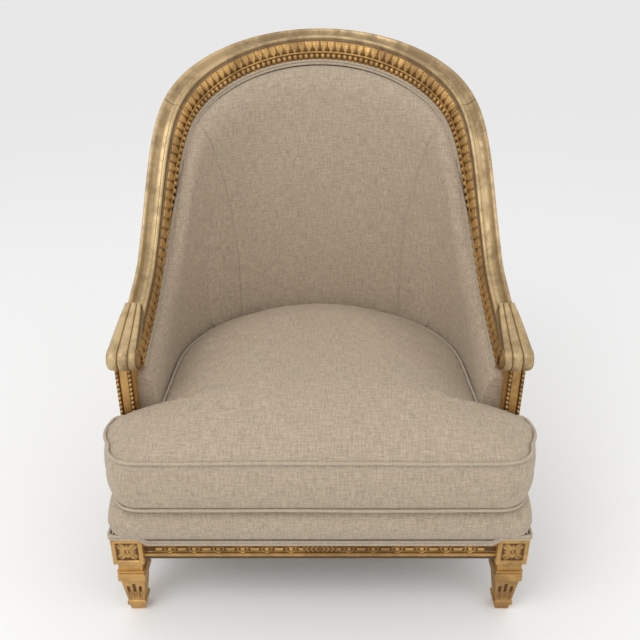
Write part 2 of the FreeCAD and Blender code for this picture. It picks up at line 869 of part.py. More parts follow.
def coil_spring(middle):
    """Double cone seat spring of square cut wire."""
    low = value("rail_bottom")
    height = value("spring_top") - low
    radius, waist = value("spring_radius"), value("spring_waist")
    half = value("spring_wire") / 2
    turns = value("spring_turns")
    count = int(turns * 7)
    rings = []
    for step in range(count + 1):
        share = step / count
        around = 2 * math.pi * turns * share
        reach = waist + (radius - waist) * (2 * share - 1) ** 2
        out = Vector(math.cos(around), math.sin(around), 0)
        spot = middle + out * reach + Vector(0, 0, low + half + (height - 2 * half) * share)
        corners = [(-half, -half), (half, -half), (half, half), (-half, half)]
        rings.append([spot + out * x + Vector(0, 0, z) for x, z in corners])
    return faceted_sweep(rings)


def dowel(middle, way):
    """Twelve sided peg, half in each of the two rails that it joins."""
    radius, length = value("dowel_diameter/2"), value("dowel_length")
    turn = Rotation(Vector(0, 0, 1), way)
    rings = []
    for end in (-0.5, 0.5):
        ring = []
        for corner in range(12):
            around = math.pi / 6 * corner
            spot = Vector(radius * math.cos(around), radius * math.sin(around), end * length)
            ring.append(middle + turn.multVec(spot))
        rings.append(ring)
    return faceted_sweep(rings)


def build_rails():
    """Top rail in three lengths, with the dowels of its two joints."""
    joint = value("crest_joint")
    crest_stations = steps(-joint, joint, 38)
    arm_stations = steps(joint, value("arm_rail_end"), 20)
    crest_loft = feature("crest_loft", rail_loft(RAIL_SECTION, crest_stations), TUB)
    arm_loft = feature("arm_loft", rail_loft(RAIL_SECTION, arm_stations), TUB)
    dowels = []
    for side in (1, -1):
        for inset, drop in ((11, 30), (22, 50)):
            start = rail_point(side * joint, inset, drop)
            ahead = rail_point(side * (joint + 1), inset, drop)
            dowels.append(dowel(start, (ahead - start).normalize()))
    rail_dowels = node("rail_dowels", feature("rail_dowels", Part.makeCompound(dowels), TUB))
    low = value("welt_top") + 0.2
    lobe = value("welt_lobe")
    welt_section = [(30, low + 2 * lobe), (30, low), (32.5, low),
                    ((35, low + lobe / 2), (32.5, low + lobe), 2),
                    ((35, low + 1.5 * lobe), (32.5, low + 2 * lobe), 2)]
    left_arm = [-along for along in reversed(arm_stations)]
    stations = left_arm[:-1] + crest_stations + arm_stations[1:]
    welt = feature("inner_double_welt", rail_loft(welt_section, stations), TUB)
    return crest_loft, arm_loft, rail_dowels, welt


def build_covers(block, top_rail):
    """Outside covers in three panels, thin linen shells from the seat rail to the top rail."""
    angle = math.radians(value("back_leg_angle"))
    seam = value("tub_radius") * angle
    arm_end = QUARTER + value("tub_centre-post_front-post_depth") + 55
    outer = value("cover_inset")
    inner = outer + value("cover_thick")
    low = -10

    def panel(stations):
        rings = []
        for along in stations:
            spot, top = rail_foot(along, 0.4)
            section = [(outer, low), (outer, top), (inner, top), (inner, low)]
            rings.append(section_ring(section, lambda inset, up: tub_point(spot, up, inset)))
        return faceted_sweep(rings)

    under = box("under_seat_rail", ("-2*seat_radius", "2*seat_radius"),
                ("-2*seat_radius", "2*seat_radius"), ("0", "rail_top"))
    post_space = box("post_space", ("0", "2*seat_radius"), ("-2*seat_radius", "post_front+post_depth"),
                     ("0", "1000"))
    back = feature("outside_back", panel(steps(-seam, seam, 36)), TUB)
    node("outside_back_cover", cut("outside_back_cover", back, under, block,
                                   mirrored("block_behind_cover", block), top_rail))
    arm = feature("outside_arm", panel(steps(seam, 400, 36) + steps(400, arm_end, 20)[1:]), TUB)
    node_pair("outside_arm_cover", cut("outside_arm_cover", arm, under, post_space, block, top_rail))


def build_seat(legs):
    """Springs on webbing inside the seat frame, under a stuffed and covered fixed seat."""
    outer_deck = feature("outer_deck", tee_loft(deck_levels()))
    inner_deck = feature("inner_deck", tee_loft(deck_levels(value("deck_shell")), value("deck_shell")))
    cavity = seat_plan("spring_space", "95", "48", "rail_top-10", "spring_top+webbing_thick")
    node("seat_stuffing", cut("seat_stuffing", inner_deck, cavity, legs))
    node("seat_deck_cover", cut("seat_deck_cover", outer_deck, inner_deck, legs))
    node("spring_canvas", seat_plan("spring_canvas", "96", "49", "spring_top", "spring_top+webbing_thick"))
    springs = [coil_spring(Vector(x, value("seat_front") + y, 0)) for x in (-100, 0, 100) for y in (150, 265, 380)]
    node("seat_springs", feature("seat_springs", Part.makeCompound(springs)))
    under = seat_plan("webbing_reach", "10", "12", "rail_bottom-2*webbing_thick", "rail_bottom")
    lengthways = webbing_strips("webbing_lengthways", "along", "-200", "200", 5,
                                "rail_bottom-webbing_thick")
    crossways = webbing_strips("webbing_crossways", "across", "seat_front+70", "seat_front+550", 7,
                               "rail_bottom-2*webbing_thick")
    node("webbing_lengthways", cut("webbing_lengthways_cut",
                                   common("webbing_lengthways_reach", lengthways, under), legs))
    node("webbing_crossways", cut("webbing_crossways_cut",
                                  common("webbing_crossways_reach", crossways, under), legs))
    cloth = seat_plan("dust_cover", "8", "10", "rail_bottom-2*webbing_thick-1.5",
                      "rail_bottom-2*webbing_thick")
    node("dust_cover", cut("dust_cover_cut", cloth, legs))


def build_cushion():
    skin = value("cushion_shell")
    outer = feature("cushion_outer", tee_loft(cushion_levels()))
    fill = feature("cushion_fill", tee_loft(cushion_levels(skin), skin))
    node("cushion_fill", fill)
    node("cushion_cover", cut("cushion_cover", outer, fill))


def build():
    """Make every sub-part, right side first."""
    crest_loft, arm_loft, rail_dowels, welt = build_rails()

    # Back legs with their stiles
    leg, block, stile, tenon = back_leg_parts()
    block_left = mirrored("back_block_left", block)
    tenon_in_crest = common("tenon_in_crest", tenon, crest_loft)
    tenon_left = mirrored("tenon_in_crest_left", tenon_in_crest)
    stile_fitted = cut("stile_fitted", stile, crest_loft)
    back_leg = fuse("back_leg_whole", leg, block, stile_fitted, tenon_in_crest)
    back_left = node_pair("back_leg", back_leg)
    node("crest_rail", cut("crest_rail", crest_loft, tenon_in_crest, tenon_left, rail_dowels))

    # Seat rails, tenoned into the legs
    front_leg_solid = front_leg()
    front_body = front_rail()
    node("front_seat_rail", front_body)
    side_ring = ring_rail("side_rail", "seat_radius", RAIL_PROFILE, "0", "90-back_leg_angle",
                          "tub_centre-seat_front-block_width")
    back_ring = ring_rail("back_rail", "seat_radius", RAIL_PROFILE, "90-back_leg_angle",
                          "2*back_leg_angle")
    low = "(rail_bottom+rail_top-tenon_height)/2"
    high = "(rail_bottom+rail_top+tenon_height)/2"
    side_tongue = box("side_tongue", ("leg_spread-tenon_thick/2", "leg_spread+tenon_thick/2"),
                      ("seat_front+block_width-tenon_length", "seat_front+block_width+1"), (low, high))
    post = arm_post()
    post_tongue = box("post_tongue", ("(post_inner+seat_radius)/2-6", "(post_inner+seat_radius)/2+6"),
                      ("post_front+8", "post_front+post_depth-8"), ("rail_top-tenon_length", "rail_top+1"))
    side_rail = fuse("side_rail_tenoned", cut("side_rail_fitted", side_ring, block), side_tongue)
    side_rail = cut("side_rail_mortised", side_rail, post_tongue)
    node_pair("side_seat_rail", side_rail)
    node("back_seat_rail", cut("back_rail_fitted", back_ring, block, block_left))
    front_leg_right = cut("front_leg_mortised", front_leg_solid, front_body, side_tongue)
    front_left = node_pair("front_leg", front_leg_right)
    legs = group("all_legs", [front_leg_right, front_left, block, block_left])

    # Corner blocks
    front_brace = front_corner_block()
    back_brace_shape = Part.makeBox(46, 108, 32, Vector(value("seat_radius-rail_thick") - 44, -54,
                                                       value("rail_bottom+4")))
    back_brace = feature("back_brace", back_brace_shape, back_leg_frame(value("back_leg_angle")))
    back_brace = cut("back_brace_fitted", back_brace, block, side_ring, back_ring)
    braces = [front_brace, back_brace, mirrored("front_brace_left", front_brace),
              mirrored("back_brace_left", back_brace)]
    node("corner_blocks", group("corner_blocks", braces))

    # Arms: posts under rails that end in reeded scrolls
    scroll = feature("arm_scroll", arm_scroll())
    arm_rail = cut("arm_rail_bored", fuse("arm_rail_whole", arm_loft, scroll), rail_dowels)
    arm_rail_left = node_pair("arm_rail", arm_rail)
    top_rail = group("top_rail", [crest_loft, arm_rail, arm_rail_left])
    above_rail = box("above_rail", ("post_inner-1", "post_outer+1"),
                     ("post_front-1", "post_front+post_depth+1"), ("rail_top", "post_top+1"))
    post_fitted = cut("post_fitted", common("post_above_rail", post, above_rail), arm_rail)
    post_right = fuse("post_tenoned", post_fitted, post_tongue)
    post_left = node_pair("arm_post", post_right)
    node("inner_double_welt", cut("inner_double_welt_fitted", welt, top_rail, back_leg, back_left,
                                  post_right, post_left))

    # Tacking rails between the posts and the stiles
    strip = [("tacking_rail_thick", "pad_bottom"), ("tacking_rail_thick", "pad_bottom+tacking_rail_height"),
             ("0", "pad_bottom+tacking_rail_height"), ("0", "pad_bottom")]
    edge = "tub_radius-stile_inset"
    back_strip = ring_rail("back_tacking", edge, strip, "90-back_leg_angle", "2*back_leg_angle")
    side_strip = ring_rail("side_tacking", edge, strip, "0", "90-back_leg_angle",
                           "tub_centre-post_front-10")
    turn = Rotation(Vector(0, 0, 1), 90 - value("back_leg_angle"))
    back_strip.Placement = TUB * Placement(Vector(), turn)
    side_strip.Placement = TUB
    stile_left = mirrored("stile_left", stile)
    node("back_tacking_rail", cut("back_tacking_rail", back_strip, stile, stile_left))
    node_pair("side_tacking_rail", cut("side_tacking_rail", side_strip, stile, post))

    # Padding inside the tub, in a middle panel and two wings
    padding = feature("inside_padding", inside_padding(), TUB)
    tub_space = box("tub_space", ("-tub_radius", "tub_radius"), ("pad_front", "2*tub_radius"), ("0", "1000"))
    padding_fitted = cut("inside_padding_fitted", common("padding_reach", padding, tub_space),
                         stile, stile_left, crest_loft, arm_rail, arm_rail_left, welt, post_right, post_left)
    seam_out = "(seam_half_width+seam_radius-sqrt(seam_radius^2-(seam_top-seam_straight)^2))"
    seam = [
        ("-seam_half_width", "-50"),
        ("seam_half_width", "-50"),
        ("seam_half_width", "seam_straight"),
        (seam_out, "seam_top", "-seam_radius"),
        ("-" + seam_out, "seam_top"),
        ("-seam_half_width", "seam_straight", "-seam_radius"),
    ]
    seam_sketch = free_sketch("seam_elevation", seam, Rotation(Vector(1, 0, 0), 90))
    seam_block = extrusion("seam_block", seam_sketch, "4*tub_radius", True)
    seam_block.Placement = TUB
    node("inside_back_pad", common("inside_back_pad", padding_fitted, seam_block))
    right_half = box("right_half", ("0", "2*tub_radius"), ("-2*tub_radius", "2*tub_radius"), ("0", "1000"))
    wing = cut("wing_pad", common("right_padding", padding_fitted, right_half), seam_block)
    node_pair("inside_wing_pad", wing)

    build_covers(block, top_rail)
    build_seat(legs)
    build_cushion()


build()
doc.recompute()

failed = [item.Label for item in doc.Objects if "Invalid" in item.State or "Error" in item.State]
for label, item in NODES.items():
    if item.Shape.isNull() or not item.Shape.isValid() or not item.Shape.Solids:
        failed.append(label)
if failed:
    raise RuntimeError("failed objects: " + ", ".join(failed))

os.makedirs("parts", exist_ok=True)
for label, item in NODES.items():
    shape = item.Shape
    shape.exportStep("parts/%s.step" % label)
    print(label, len(shape.Solids), round(shape.Volume / 1000, 1), shape.BoundBox)
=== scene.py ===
"""Low round-backed armchair: carved giltwood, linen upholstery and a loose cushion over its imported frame.

The file is laid out as an add-on and run as a script. Sizes are in metres, +Z is up and the chair
faces -Y. The sizes repeat those of the frame's own drawing, so that carving and cloth sit on it.
"""

import json
import math

import bpy
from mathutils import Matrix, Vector, noise
from mathutils.kdtree import KDTree


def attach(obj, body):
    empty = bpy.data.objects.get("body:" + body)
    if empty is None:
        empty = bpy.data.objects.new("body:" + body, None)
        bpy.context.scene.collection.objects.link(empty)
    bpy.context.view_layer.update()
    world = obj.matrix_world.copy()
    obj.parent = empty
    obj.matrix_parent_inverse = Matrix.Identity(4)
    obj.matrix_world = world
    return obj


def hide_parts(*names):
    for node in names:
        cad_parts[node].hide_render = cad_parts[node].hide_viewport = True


bl_info = {
    "name": "Round-backed armchair",
    "version": (1, 0, 0),
    "blender": (4, 5, 0),
    "location": "3D view, sidebar, Armchair",
    "description": "Carved giltwood, linen upholstery and a loose cushion over a packed frame",
    "category": "Add Mesh",
}

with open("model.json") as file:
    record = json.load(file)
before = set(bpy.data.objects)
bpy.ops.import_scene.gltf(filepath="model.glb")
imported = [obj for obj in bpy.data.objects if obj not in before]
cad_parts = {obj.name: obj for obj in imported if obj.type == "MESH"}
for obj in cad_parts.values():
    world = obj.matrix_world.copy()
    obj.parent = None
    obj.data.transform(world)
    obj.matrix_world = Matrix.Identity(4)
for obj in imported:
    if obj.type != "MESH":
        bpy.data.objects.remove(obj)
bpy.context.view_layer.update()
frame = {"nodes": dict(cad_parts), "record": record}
SIDES = ((1, "right"), (-1, "left"))
MM = 0.001


# Sizes and colours

def length(name, default, description):
    """A length that a user may change."""
    return bpy.props.FloatProperty(name=name, default=default, description=description,
                                   unit="LENGTH", precision=4)


def colour(name, default, description):
    """A colour that a user may change."""
    return bpy.props.FloatVectorProperty(name=name, default=default, description=description,
                                         subtype="COLOR", size=3, min=0.0, max=1.0)


class TubSizes(bpy.types.PropertyGroup):
    """The leaning horseshoe that the top rail, the pads and the covers follow."""
    radius: length("Radius", 0.337, "Outside radius of the tub")
    centre: length("Centre", -0.0525, "Y of the tub's centre at the pivot")
    pivot: length("Pivot", 0.150, "Height about which the tub leans")
    lean: bpy.props.FloatProperty(name="Lean", default=math.radians(6.3), subtype="ANGLE",
                                  description="Backward lean of the tub")
    crest: length("Crest", 0.8153, "Height of the crest above the pivot")
    arch: length("Arch", 0.559, "Radius of the crest's arch")
    arm: length("Arm", 0.3974, "Height of the arm rail above the pivot, where it leaves the back")
    slope: bpy.props.FloatProperty(name="Arm slope", default=0.522, description="Fall of the arm rail")
    sweep: length("Sweep", 0.4655, "Middle of the sweep from crest to arm, along the tub")
    sweep_length: length("Sweep length", 0.0307, "How gradual the sweep is")
    face: length("Rail face", 0.070, "Height of the top rail's section")
    joint: length("Joint", 0.380, "Where crest and arm rail meet, along the tub")
    end: length("End", 0.722, "Where the moulded arm rail ends, along the tub")


class CarvingSizes(bpy.types.PropertyGroup):
    """Pitch and relief of the carving."""
    leaf_pitch: length("Leaf pitch", 0.0185, "Length of one leaf of the leaf-tip band")
    leaf_relief: length("Leaf relief", 0.0030, "Depth of the leaf-tip band's carving")
    bead_pitch: length("Bead pitch", 0.0145, "Distance from bead to bead")
    bead_relief: length("Bead relief", 0.0042, "Height of a bead over its channel")
    berry_first: length("First berry", 0.0487, "First berry of the seat rail, from the middle")
    berry_pitch: length("Berry pitch", 0.0408, "Distance from berry to berry")
    step: length("Carving step", 0.0017, "Distance between the carved rail's mesh lines")


class ClothSizes(bpy.types.PropertyGroup):
    """Cords, pads and the loose cushion."""
    welt: length("Welt", 0.0028, "Radius of one cord of a double welt")
    piping: length("Piping", 0.0030, "Radius of the cushion's piping")
    voxel: length("Cloth grain", 0.006, "Size of the cushion's cloth mesh")
    swell: length("Swell", 0.009, "Most that the cushion's cloth may move when filled")


class Finishes(bpy.types.PropertyGroup):
    """Colours of the finishes."""
    gold: colour("Gold", (0.50, 0.295, 0.10), "Rubbed gold leaf")
    pale_gold: colour("Pale gold", (0.50, 0.365, 0.19), "Dulled leaf on broad mouldings")
    # Clay colour: it shows where the leaf is rubbed, and it is also the colour of the painted shade that
    # darkens the gilding in its recesses.
    clay_and_shade: colour("Clay", (0.085, 0.035, 0.010), "Dark clay left in the recesses")
    linen: colour("Linen", (0.475, 0.385, 0.285), "Natural linen")
    cord: colour("Cord", (0.47, 0.395, 0.30), "Linen covered cords")
    beech: colour("Beech", (0.50, 0.33, 0.19), "Bare beech")
    hessian: colour("Hessian", (0.17, 0.13, 0.09), "Dark hessian under the seat")
    jute: colour("Jute", (0.42, 0.31, 0.18), "Webbing under the springs")
    wadding: colour("Wadding", (0.72, 0.68, 0.60), "Stuffing under the linen")
    wire: colour("Wire", (0.42, 0.36, 0.30), "Spring wire")
    rust: colour("Rust", (0.20, 0.09, 0.04), "Rust on the spring wire")


# The tub

class Tub:
    """Points on the leaning horseshoe, measured along it from the middle of the back."""

    def __init__(self):
        self.sizes = bpy.context.scene.armchair_tub
        for name in ("radius", "crest", "arch", "arm", "slope", "sweep", "sweep_length", "face", "end"):
            setattr(self, name, getattr(self.sizes, name))
        self.quarter = self.radius * math.pi / 2
        self.cosine = math.cos(self.sizes.lean)
        self.sine = math.sin(self.sizes.lean)
        self.origin = Vector((0, self.sizes.centre, self.sizes.pivot))

    def place(self, point):
        """Leans a point of the upright tub backwards."""
        x, y, z = point
        return self.origin + Vector((x, y * self.cosine + z * self.sine, z * self.cosine - y * self.sine))

    def upright(self, along, up, inset):
        """A point of the tub before it leans."""
        radius = self.radius - inset
        side = math.copysign(1, along)
        if abs(along) > self.quarter:
            return Vector((side * radius, self.quarter - abs(along), up))
        turn = along / self.radius
        return Vector((radius * math.sin(turn), radius * math.cos(turn), up))

    def point(self, along, up, inset):
        """A point of the leaning tub."""
        return self.place(self.upright(along, up, inset))

    def height(self, along):
        """Height of the top rail's outer edge."""
        along = abs(along)
        arm = self.arm - self.slope * (along - self.quarter)
        arch = self.crest - along ** 2 / (2 * self.arch)
        return arm + (arch - arm) / (1 + math.exp((along - self.sweep) / self.sweep_length))

    def fall(self, along, step=0.0005):
        """Slope of the top rail."""
        return (self.height(along + step) - self.height(along - step)) / (2 * step)

    def middle(self, along):
        """Distance along and height of the middle of the rail's outer face."""
        fall = self.fall(along)
        reach = self.face / 2 / math.hypot(1, fall)
        return along + reach * fall, self.height(along) - reach

    def foot(self, along, gap):
        """Distance along and height of a line a little below the rail's lower edge."""
        fall = self.fall(along)
        share = math.hypot(1, fall)
        return along + (self.face + gap) * fall / share, self.height(along) - (self.face + gap) / share

    def section(self, along):
        """Middle of the rail's outer face, the way in and the way up its section."""
        spot, up = self.middle(along)
        inward = (self.upright(spot, 0, 0.001) - self.upright(spot, 0, 0)).normalized()
        before = self.upright(*self.middle(along - 0.001), 0)
        after = self.upright(*self.middle(along + 0.001), 0)
        rise = inward.cross((after - before).normalized())
        return self.upright(spot, up, 0), inward, rise

    def rail_point(self, section, inset, drop):
        """A point of the rail's section, inset from its outer face and below its top."""
        origin, inward, rise = section
        return self.place(origin + inward * inset + rise * (self.face / 2 - drop))

    def stations(self, first, last, pace):
        """Even steps of true length along the rail: (distance along the tub, true length)."""
        step = 0.0005
        offset = 0.0
        along = 0.0
        while along < first:
            offset += step * math.hypot(1, self.fall(along))
            along += step
        run, table = 0.0, [(first, 0.0)]
        for index in range(1, round((last - first) / step) + 1):
            along = first + index * step
            run += step * math.hypot(1, self.fall(along))
            table.append((along, run))
        total = max(2, round(run / pace))
        picked, place = [], 0
        for index in range(total + 1):
            wanted = run * index / total
            while place < len(table) - 1 and table[place][1] < wanted:
                place += 1
            picked.append((table[place][0], offset + table[place][1]))
        return picked


def arc_points(start, middle, end, count):
    """Points after the first on the circle through three points."""
    (ax, ay), (bx, by), (cx, cy) = start, middle, end
    twice = 2 * (ax * (by - cy) + bx * (cy - ay) + cx * (ay - by))
    squares = [x * x + y * y for x, y in (start, middle, end)]
    x = (squares[0] * (by - cy) + squares[1] * (cy - ay) + squares[2] * (ay - by)) / twice
    y = (squares[0] * (cx - bx) + squares[1] * (ax - cx) + squares[2] * (bx - ax)) / twice
    radius = math.hypot(ax - x, ay - y)
    turns = [math.atan2(py - y, px - x) for px, py in (start, middle, end)]
    sweep = math.remainder(turns[1] - turns[0], 2 * math.pi)
    sweep += math.remainder(turns[2] - turns[1], 2 * math.pi)
    points = []
    for step in range(1, count + 1):
        turn = turns[0] + sweep * step / count
        points.append((x + radius * math.cos(turn), y + radius * math.sin(turn)))
    return points


def line_points(start, end, count):
    """Points after the first on a straight line."""
    return [(start[0] + (end[0] - start[0]) * step / count, start[1] + (end[1] - start[1]) * step / count)
            for step in range(1, count + 1)]


def tee_plan(plan, corner=0.026, heel=0.014, crook=0.007):
    """Outline of the T shaped seat: ears in front of the posts, a tail inside the tub."""
    front, ear, ear_end, stop, neck, centre = plan
    cut = 1 - math.sqrt(0.5)
    right = line_points((0, front), (ear - corner, front), 24)
    right += arc_points(right[-1], (ear - corner * cut, front + corner * cut), (ear, front + corner), 6)
    middle = ((ear + ear_end) / 2 + 0.004, (front + stop) / 2)
    right += arc_points(right[-1], middle, (ear_end, stop - heel), 8)
    right += arc_points(right[-1], (ear_end - heel * cut, stop - heel * cut), (ear_end - heel, stop), 4)
    right += line_points(right[-1], (neck + crook, stop), 3)
    right += arc_points(right[-1], (neck + crook * cut, stop + crook * cut), (neck, stop + crook), 3)
    right += line_points(right[-1], (neck, centre), 12)
    right += arc_points(right[-1], (neck * math.sqrt(0.5), centre + neck * math.sqrt(0.5)),
                        (0, centre + neck), 28)
    left = [(-x, y) for x, y in reversed(right[:-1])]
    return right + left + [(0, front)]


# Meshes

def lay_weave(mesh):
    """Gives every face the metre grid of the plane that it faces most, for threads to follow."""
    layer = mesh.uv_layers.new(name="threads")
    for face in mesh.polygons:
        normal = [abs(part) for part in face.normal]
        drop = normal.index(max(normal))
        first, second = [axis for axis in range(3) if axis != drop]
        for loop in face.loop_indices:
            spot = mesh.vertices[mesh.loops[loop].vertex_index].co
            layer.data[loop].uv = (spot[first], spot[second])


def add_piece(name, points, faces, material, slot, replaced=(), body="frame", recess_shade=None):
    """A new piece of the chair, with the finish that it is given. The slot argument is not used."""
    mesh = bpy.data.meshes.new(name)
    mesh.from_pydata([tuple(point) for point in points], [], faces)
    mesh.validate()
    mesh.update()
    # The recess shade value is painted shade for each point; the gilt finishes darken towards the clay colour
    # where it is high.
    if recess_shade is not None:
        attribute = mesh.attributes.new("recess_shade", "FLOAT", "POINT")
        attribute.data.foreach_set("value", recess_shade)
    mesh.polygons.foreach_set("use_smooth", [True] * len(mesh.polygons))
    mesh.set_sharp_from_angle(angle=math.radians(50))
    lay_weave(mesh)
    piece = bpy.data.objects.new(name, mesh)
    bpy.context.scene.collection.objects.link(piece)
    mesh.materials.append(material)
    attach(piece, body)
    if replaced:
        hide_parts(*replaced)
    return piece


def sweep(rings, capped=True):
    """Points and faces of a skin over closed rings of points."""
    count = len(rings[0])
    points = [point for ring in rings for point in ring]
    faces = []
    for row in range(len(rings) - 1):
        for column in range(count):
            after = (column + 1) % count
            near, far = row * count, (row + 1) * count
            faces.append((near + column, near + after, far + after, far + column))
    if capped:
        faces.append(tuple(reversed(range(count))))
        faces.append(tuple(range(len(points) - count, len(points))))
    return points, faces


def tube(path, radius, sides=8, closed=False):
    """A cord of even thickness along a path of points."""
    rings = []
    count = len(path)
    side = Vector((0, 0, 1))
    for index, spot in enumerate(path):
        before = path[index - 1] if index or closed else spot
        after = path[(index + 1) % count] if index < count - 1 or closed else spot
        ahead = (after - before).normalized()
        side = (side - ahead * side.dot(ahead)).normalized()
        other = ahead.cross(side)
        ring = []
        for corner in range(sides):
            turn = 2 * math.pi * corner / sides
            ring.append(spot + (side * math.cos(turn) + other * math.sin(turn)) * radius)
        rings.append(ring)
    if not closed:
        return sweep(rings)
    points, faces = sweep(rings, capped=False)
    last = (count - 1) * sides
    for corner in range(sides):
        after = (corner + 1) % sides
        faces.append((last + corner, last + after, after, corner))
    return points, faces


def joined(*parts):
    """Several (points, faces) as one."""
    points, faces = [], []
    for more_points, more_faces in parts:
        offset = len(points)
        points += list(more_points)
        faces += [tuple(index + offset for index in face) for face in more_faces]
    return points, faces


def flipped(side, points, faces):
    """The piece as modelled on the right, or its mirror image."""
    if side > 0:
        return points, faces
    return [Vector((-p[0], p[1], p[2])) for p in points], [tuple(reversed(face)) for face in faces]


def soften(path, passes=3):
    """Cuts the corners of a path until it is round."""
    for _ in range(passes):
        fresh = [path[0]]
        for first, second in zip(path, path[1:]):
            fresh += [first * 0.75 + second * 0.25, first * 0.25 + second * 0.75]
        path = fresh + [path[-1]]
    return path


def rail_cords(tub, inset, drops, end, pace):
    """Cords side by side along the whole top rail, at a depth and at drops of its section."""
    radius = bpy.context.scene.armchair_cloth.welt
    cords = []
    for drop in drops:
        right = [tub.rail_point(tub.section(along), inset, drop) for along, _ in tub.stations(0.0, end, pace)]
        left = [Vector((-p.x, p.y, p.z)) for p in reversed(right[1:])]
        cords.append(tube(left + right, radius))
    return joined(*cords)


# Finishes

def shader(name):
    """A new material with its node tree and its Principled BSDF."""
    material = bpy.data.materials.new(name)
    material.use_nodes = True
    tree = material.node_tree
    return material, tree, tree.nodes["Principled BSDF"]


def feed(tree, socket, value):
    """Links a socket to another one or sets its value."""
    if hasattr(value, "is_output"):
        tree.links.new(value, socket)
    else:
        socket.default_value = value


def add_node(tree, kind, inputs=None, **settings):
    """A new node with its settings and its inputs."""
    node = tree.nodes.new(kind)
    for key, value in settings.items():
        setattr(node, key, value)
    for key, value in (inputs or {}).items():
        feed(tree, node.inputs[key], value)
    return node


def calculate(tree, operation, *values):
    """The result of a Math node."""
    return add_node(tree, "ShaderNodeMath", dict(enumerate(values)), operation=operation).outputs[0]


def spread(tree, value, low, high, first=0.0, last=1.0):
    """A value whose range from low to high becomes first to last."""
    inputs = {0: value, 1: low, 2: high, 3: first, 4: last}
    return add_node(tree, "ShaderNodeMapRange", inputs).outputs[0]


def mottle(tree, place, scale, detail=2.0, roughness=0.5):
    """Noise around 0.5 at a place."""
    inputs = {"Vector": place, "Scale": scale, "Detail": detail, "Roughness": roughness}
    return add_node(tree, "ShaderNodeTexNoise", inputs).outputs[0]


def blend(tree, share, first, second):
    """Mixes two colours."""
    node = add_node(tree, "ShaderNodeMix", data_type="RGBA")
    for index, value in ((0, share), (6, first), (7, second)):
        feed(tree, node.inputs[index], value)
    return node.outputs[2]


def roughen(tree, skin, height, strength, distance):
    """Gives a shader the relief of a height."""
    bump = add_node(tree, "ShaderNodeBump", {"Height": height, "Strength": strength, "Distance": distance})
    tree.links.new(bump.outputs[0], skin.inputs["Normal"])


def new_group(name, outputs):
    """An empty shader group with outputs of plain numbers, and its output node."""
    group = bpy.data.node_groups.new(name, "ShaderNodeTree")
    for label in outputs:
        group.interface.new_socket(label, in_out="OUTPUT", socket_type="NodeSocketFloat")
    return group, group.nodes.new("NodeGroupOutput")


def linen_group():
    """Slubby plain weave: Tone is the threads' unevenness, Height their relief."""
    group, out = new_group("slubby weave", ("Tone", "Height"))
    threads = add_node(group, "ShaderNodeUVMap", uv_map="threads").outputs[0]
    slubs = []
    for scale in ((110, 850, 1), (850, 110, 1), (38, 420, 1), (420, 38, 1)):
        stretch = add_node(group, "ShaderNodeMapping",
                           {"Vector": threads, "Scale": scale, "Location": (3.1, 7.7, 0)})
        slubs.append(mottle(group, stretch.outputs[0], 1.0, detail=3.0, roughness=0.65))
    fine = calculate(group, "ADD", slubs[0], slubs[1])
    broad = calculate(group, "ADD", slubs[2], slubs[3])
    tone = spread(group, calculate(group, "ADD", fine, broad), 1.72, 2.28, 0.80, 1.20)
    waves = []
    for direction in ("X", "Y"):
        wave = add_node(group, "ShaderNodeTexWave", {"Vector": threads, "Scale": 260.0, "Distortion": 1.5},
                        bands_direction=direction)
        waves.append(wave.outputs["Fac"])
    height = calculate(group, "MULTIPLY_ADD", calculate(group, "ADD", *waves), 0.5, fine)
    group.links.new(tone, out.inputs["Tone"])
    group.links.new(height, out.inputs["Height"])
    return group


def leaf_group():
    """Old gold leaf: Wear bares it in spots and along streaks, Height is its uneven ground."""
    group, out = new_group("old leaf", ("Wear", "Height"))
    place = add_node(group, "ShaderNodeNewGeometry").outputs["Position"]
    spots = mottle(group, place, 38.0, detail=6.0, roughness=0.7)
    broad = mottle(group, place, 7.0, detail=3.0)
    grain = mottle(group, place, 420.0, detail=4.0)
    wear = spread(group, calculate(group, "ADD", spots, broad), 0.90, 1.16)
    group.links.new(wear, out.inputs["Wear"])
    group.links.new(calculate(group, "ADD", grain, spots), out.inputs["Height"])
    return group


def cloth_finish(name, base, group, dark=0.72, relief=0.35):
    """Matt cloth: dark is how far its darkest threads fall below the base colour."""
    _, tree, skin = shader(name)
    weave = add_node(tree, "ShaderNodeGroup", node_tree=group)
    shade = [part * dark for part in base]
    light = [min(1.0, part * 1.14) for part in base]
    tone = spread(tree, weave.outputs["Tone"], 0.8, 1.2)
    tree.links.new(blend(tree, tone, (*shade, 1), (*light, 1)), skin.inputs["Base Color"])
    roughen(tree, skin, weave.outputs["Height"], relief, 0.0006)
    skin.inputs["Roughness"].default_value = 0.92
    skin.inputs["Specular IOR Level"].default_value = 0.25
    skin.inputs["Sheen Weight"].default_value = 0.12
    skin.inputs["Sheen Roughness"].default_value = 0.5


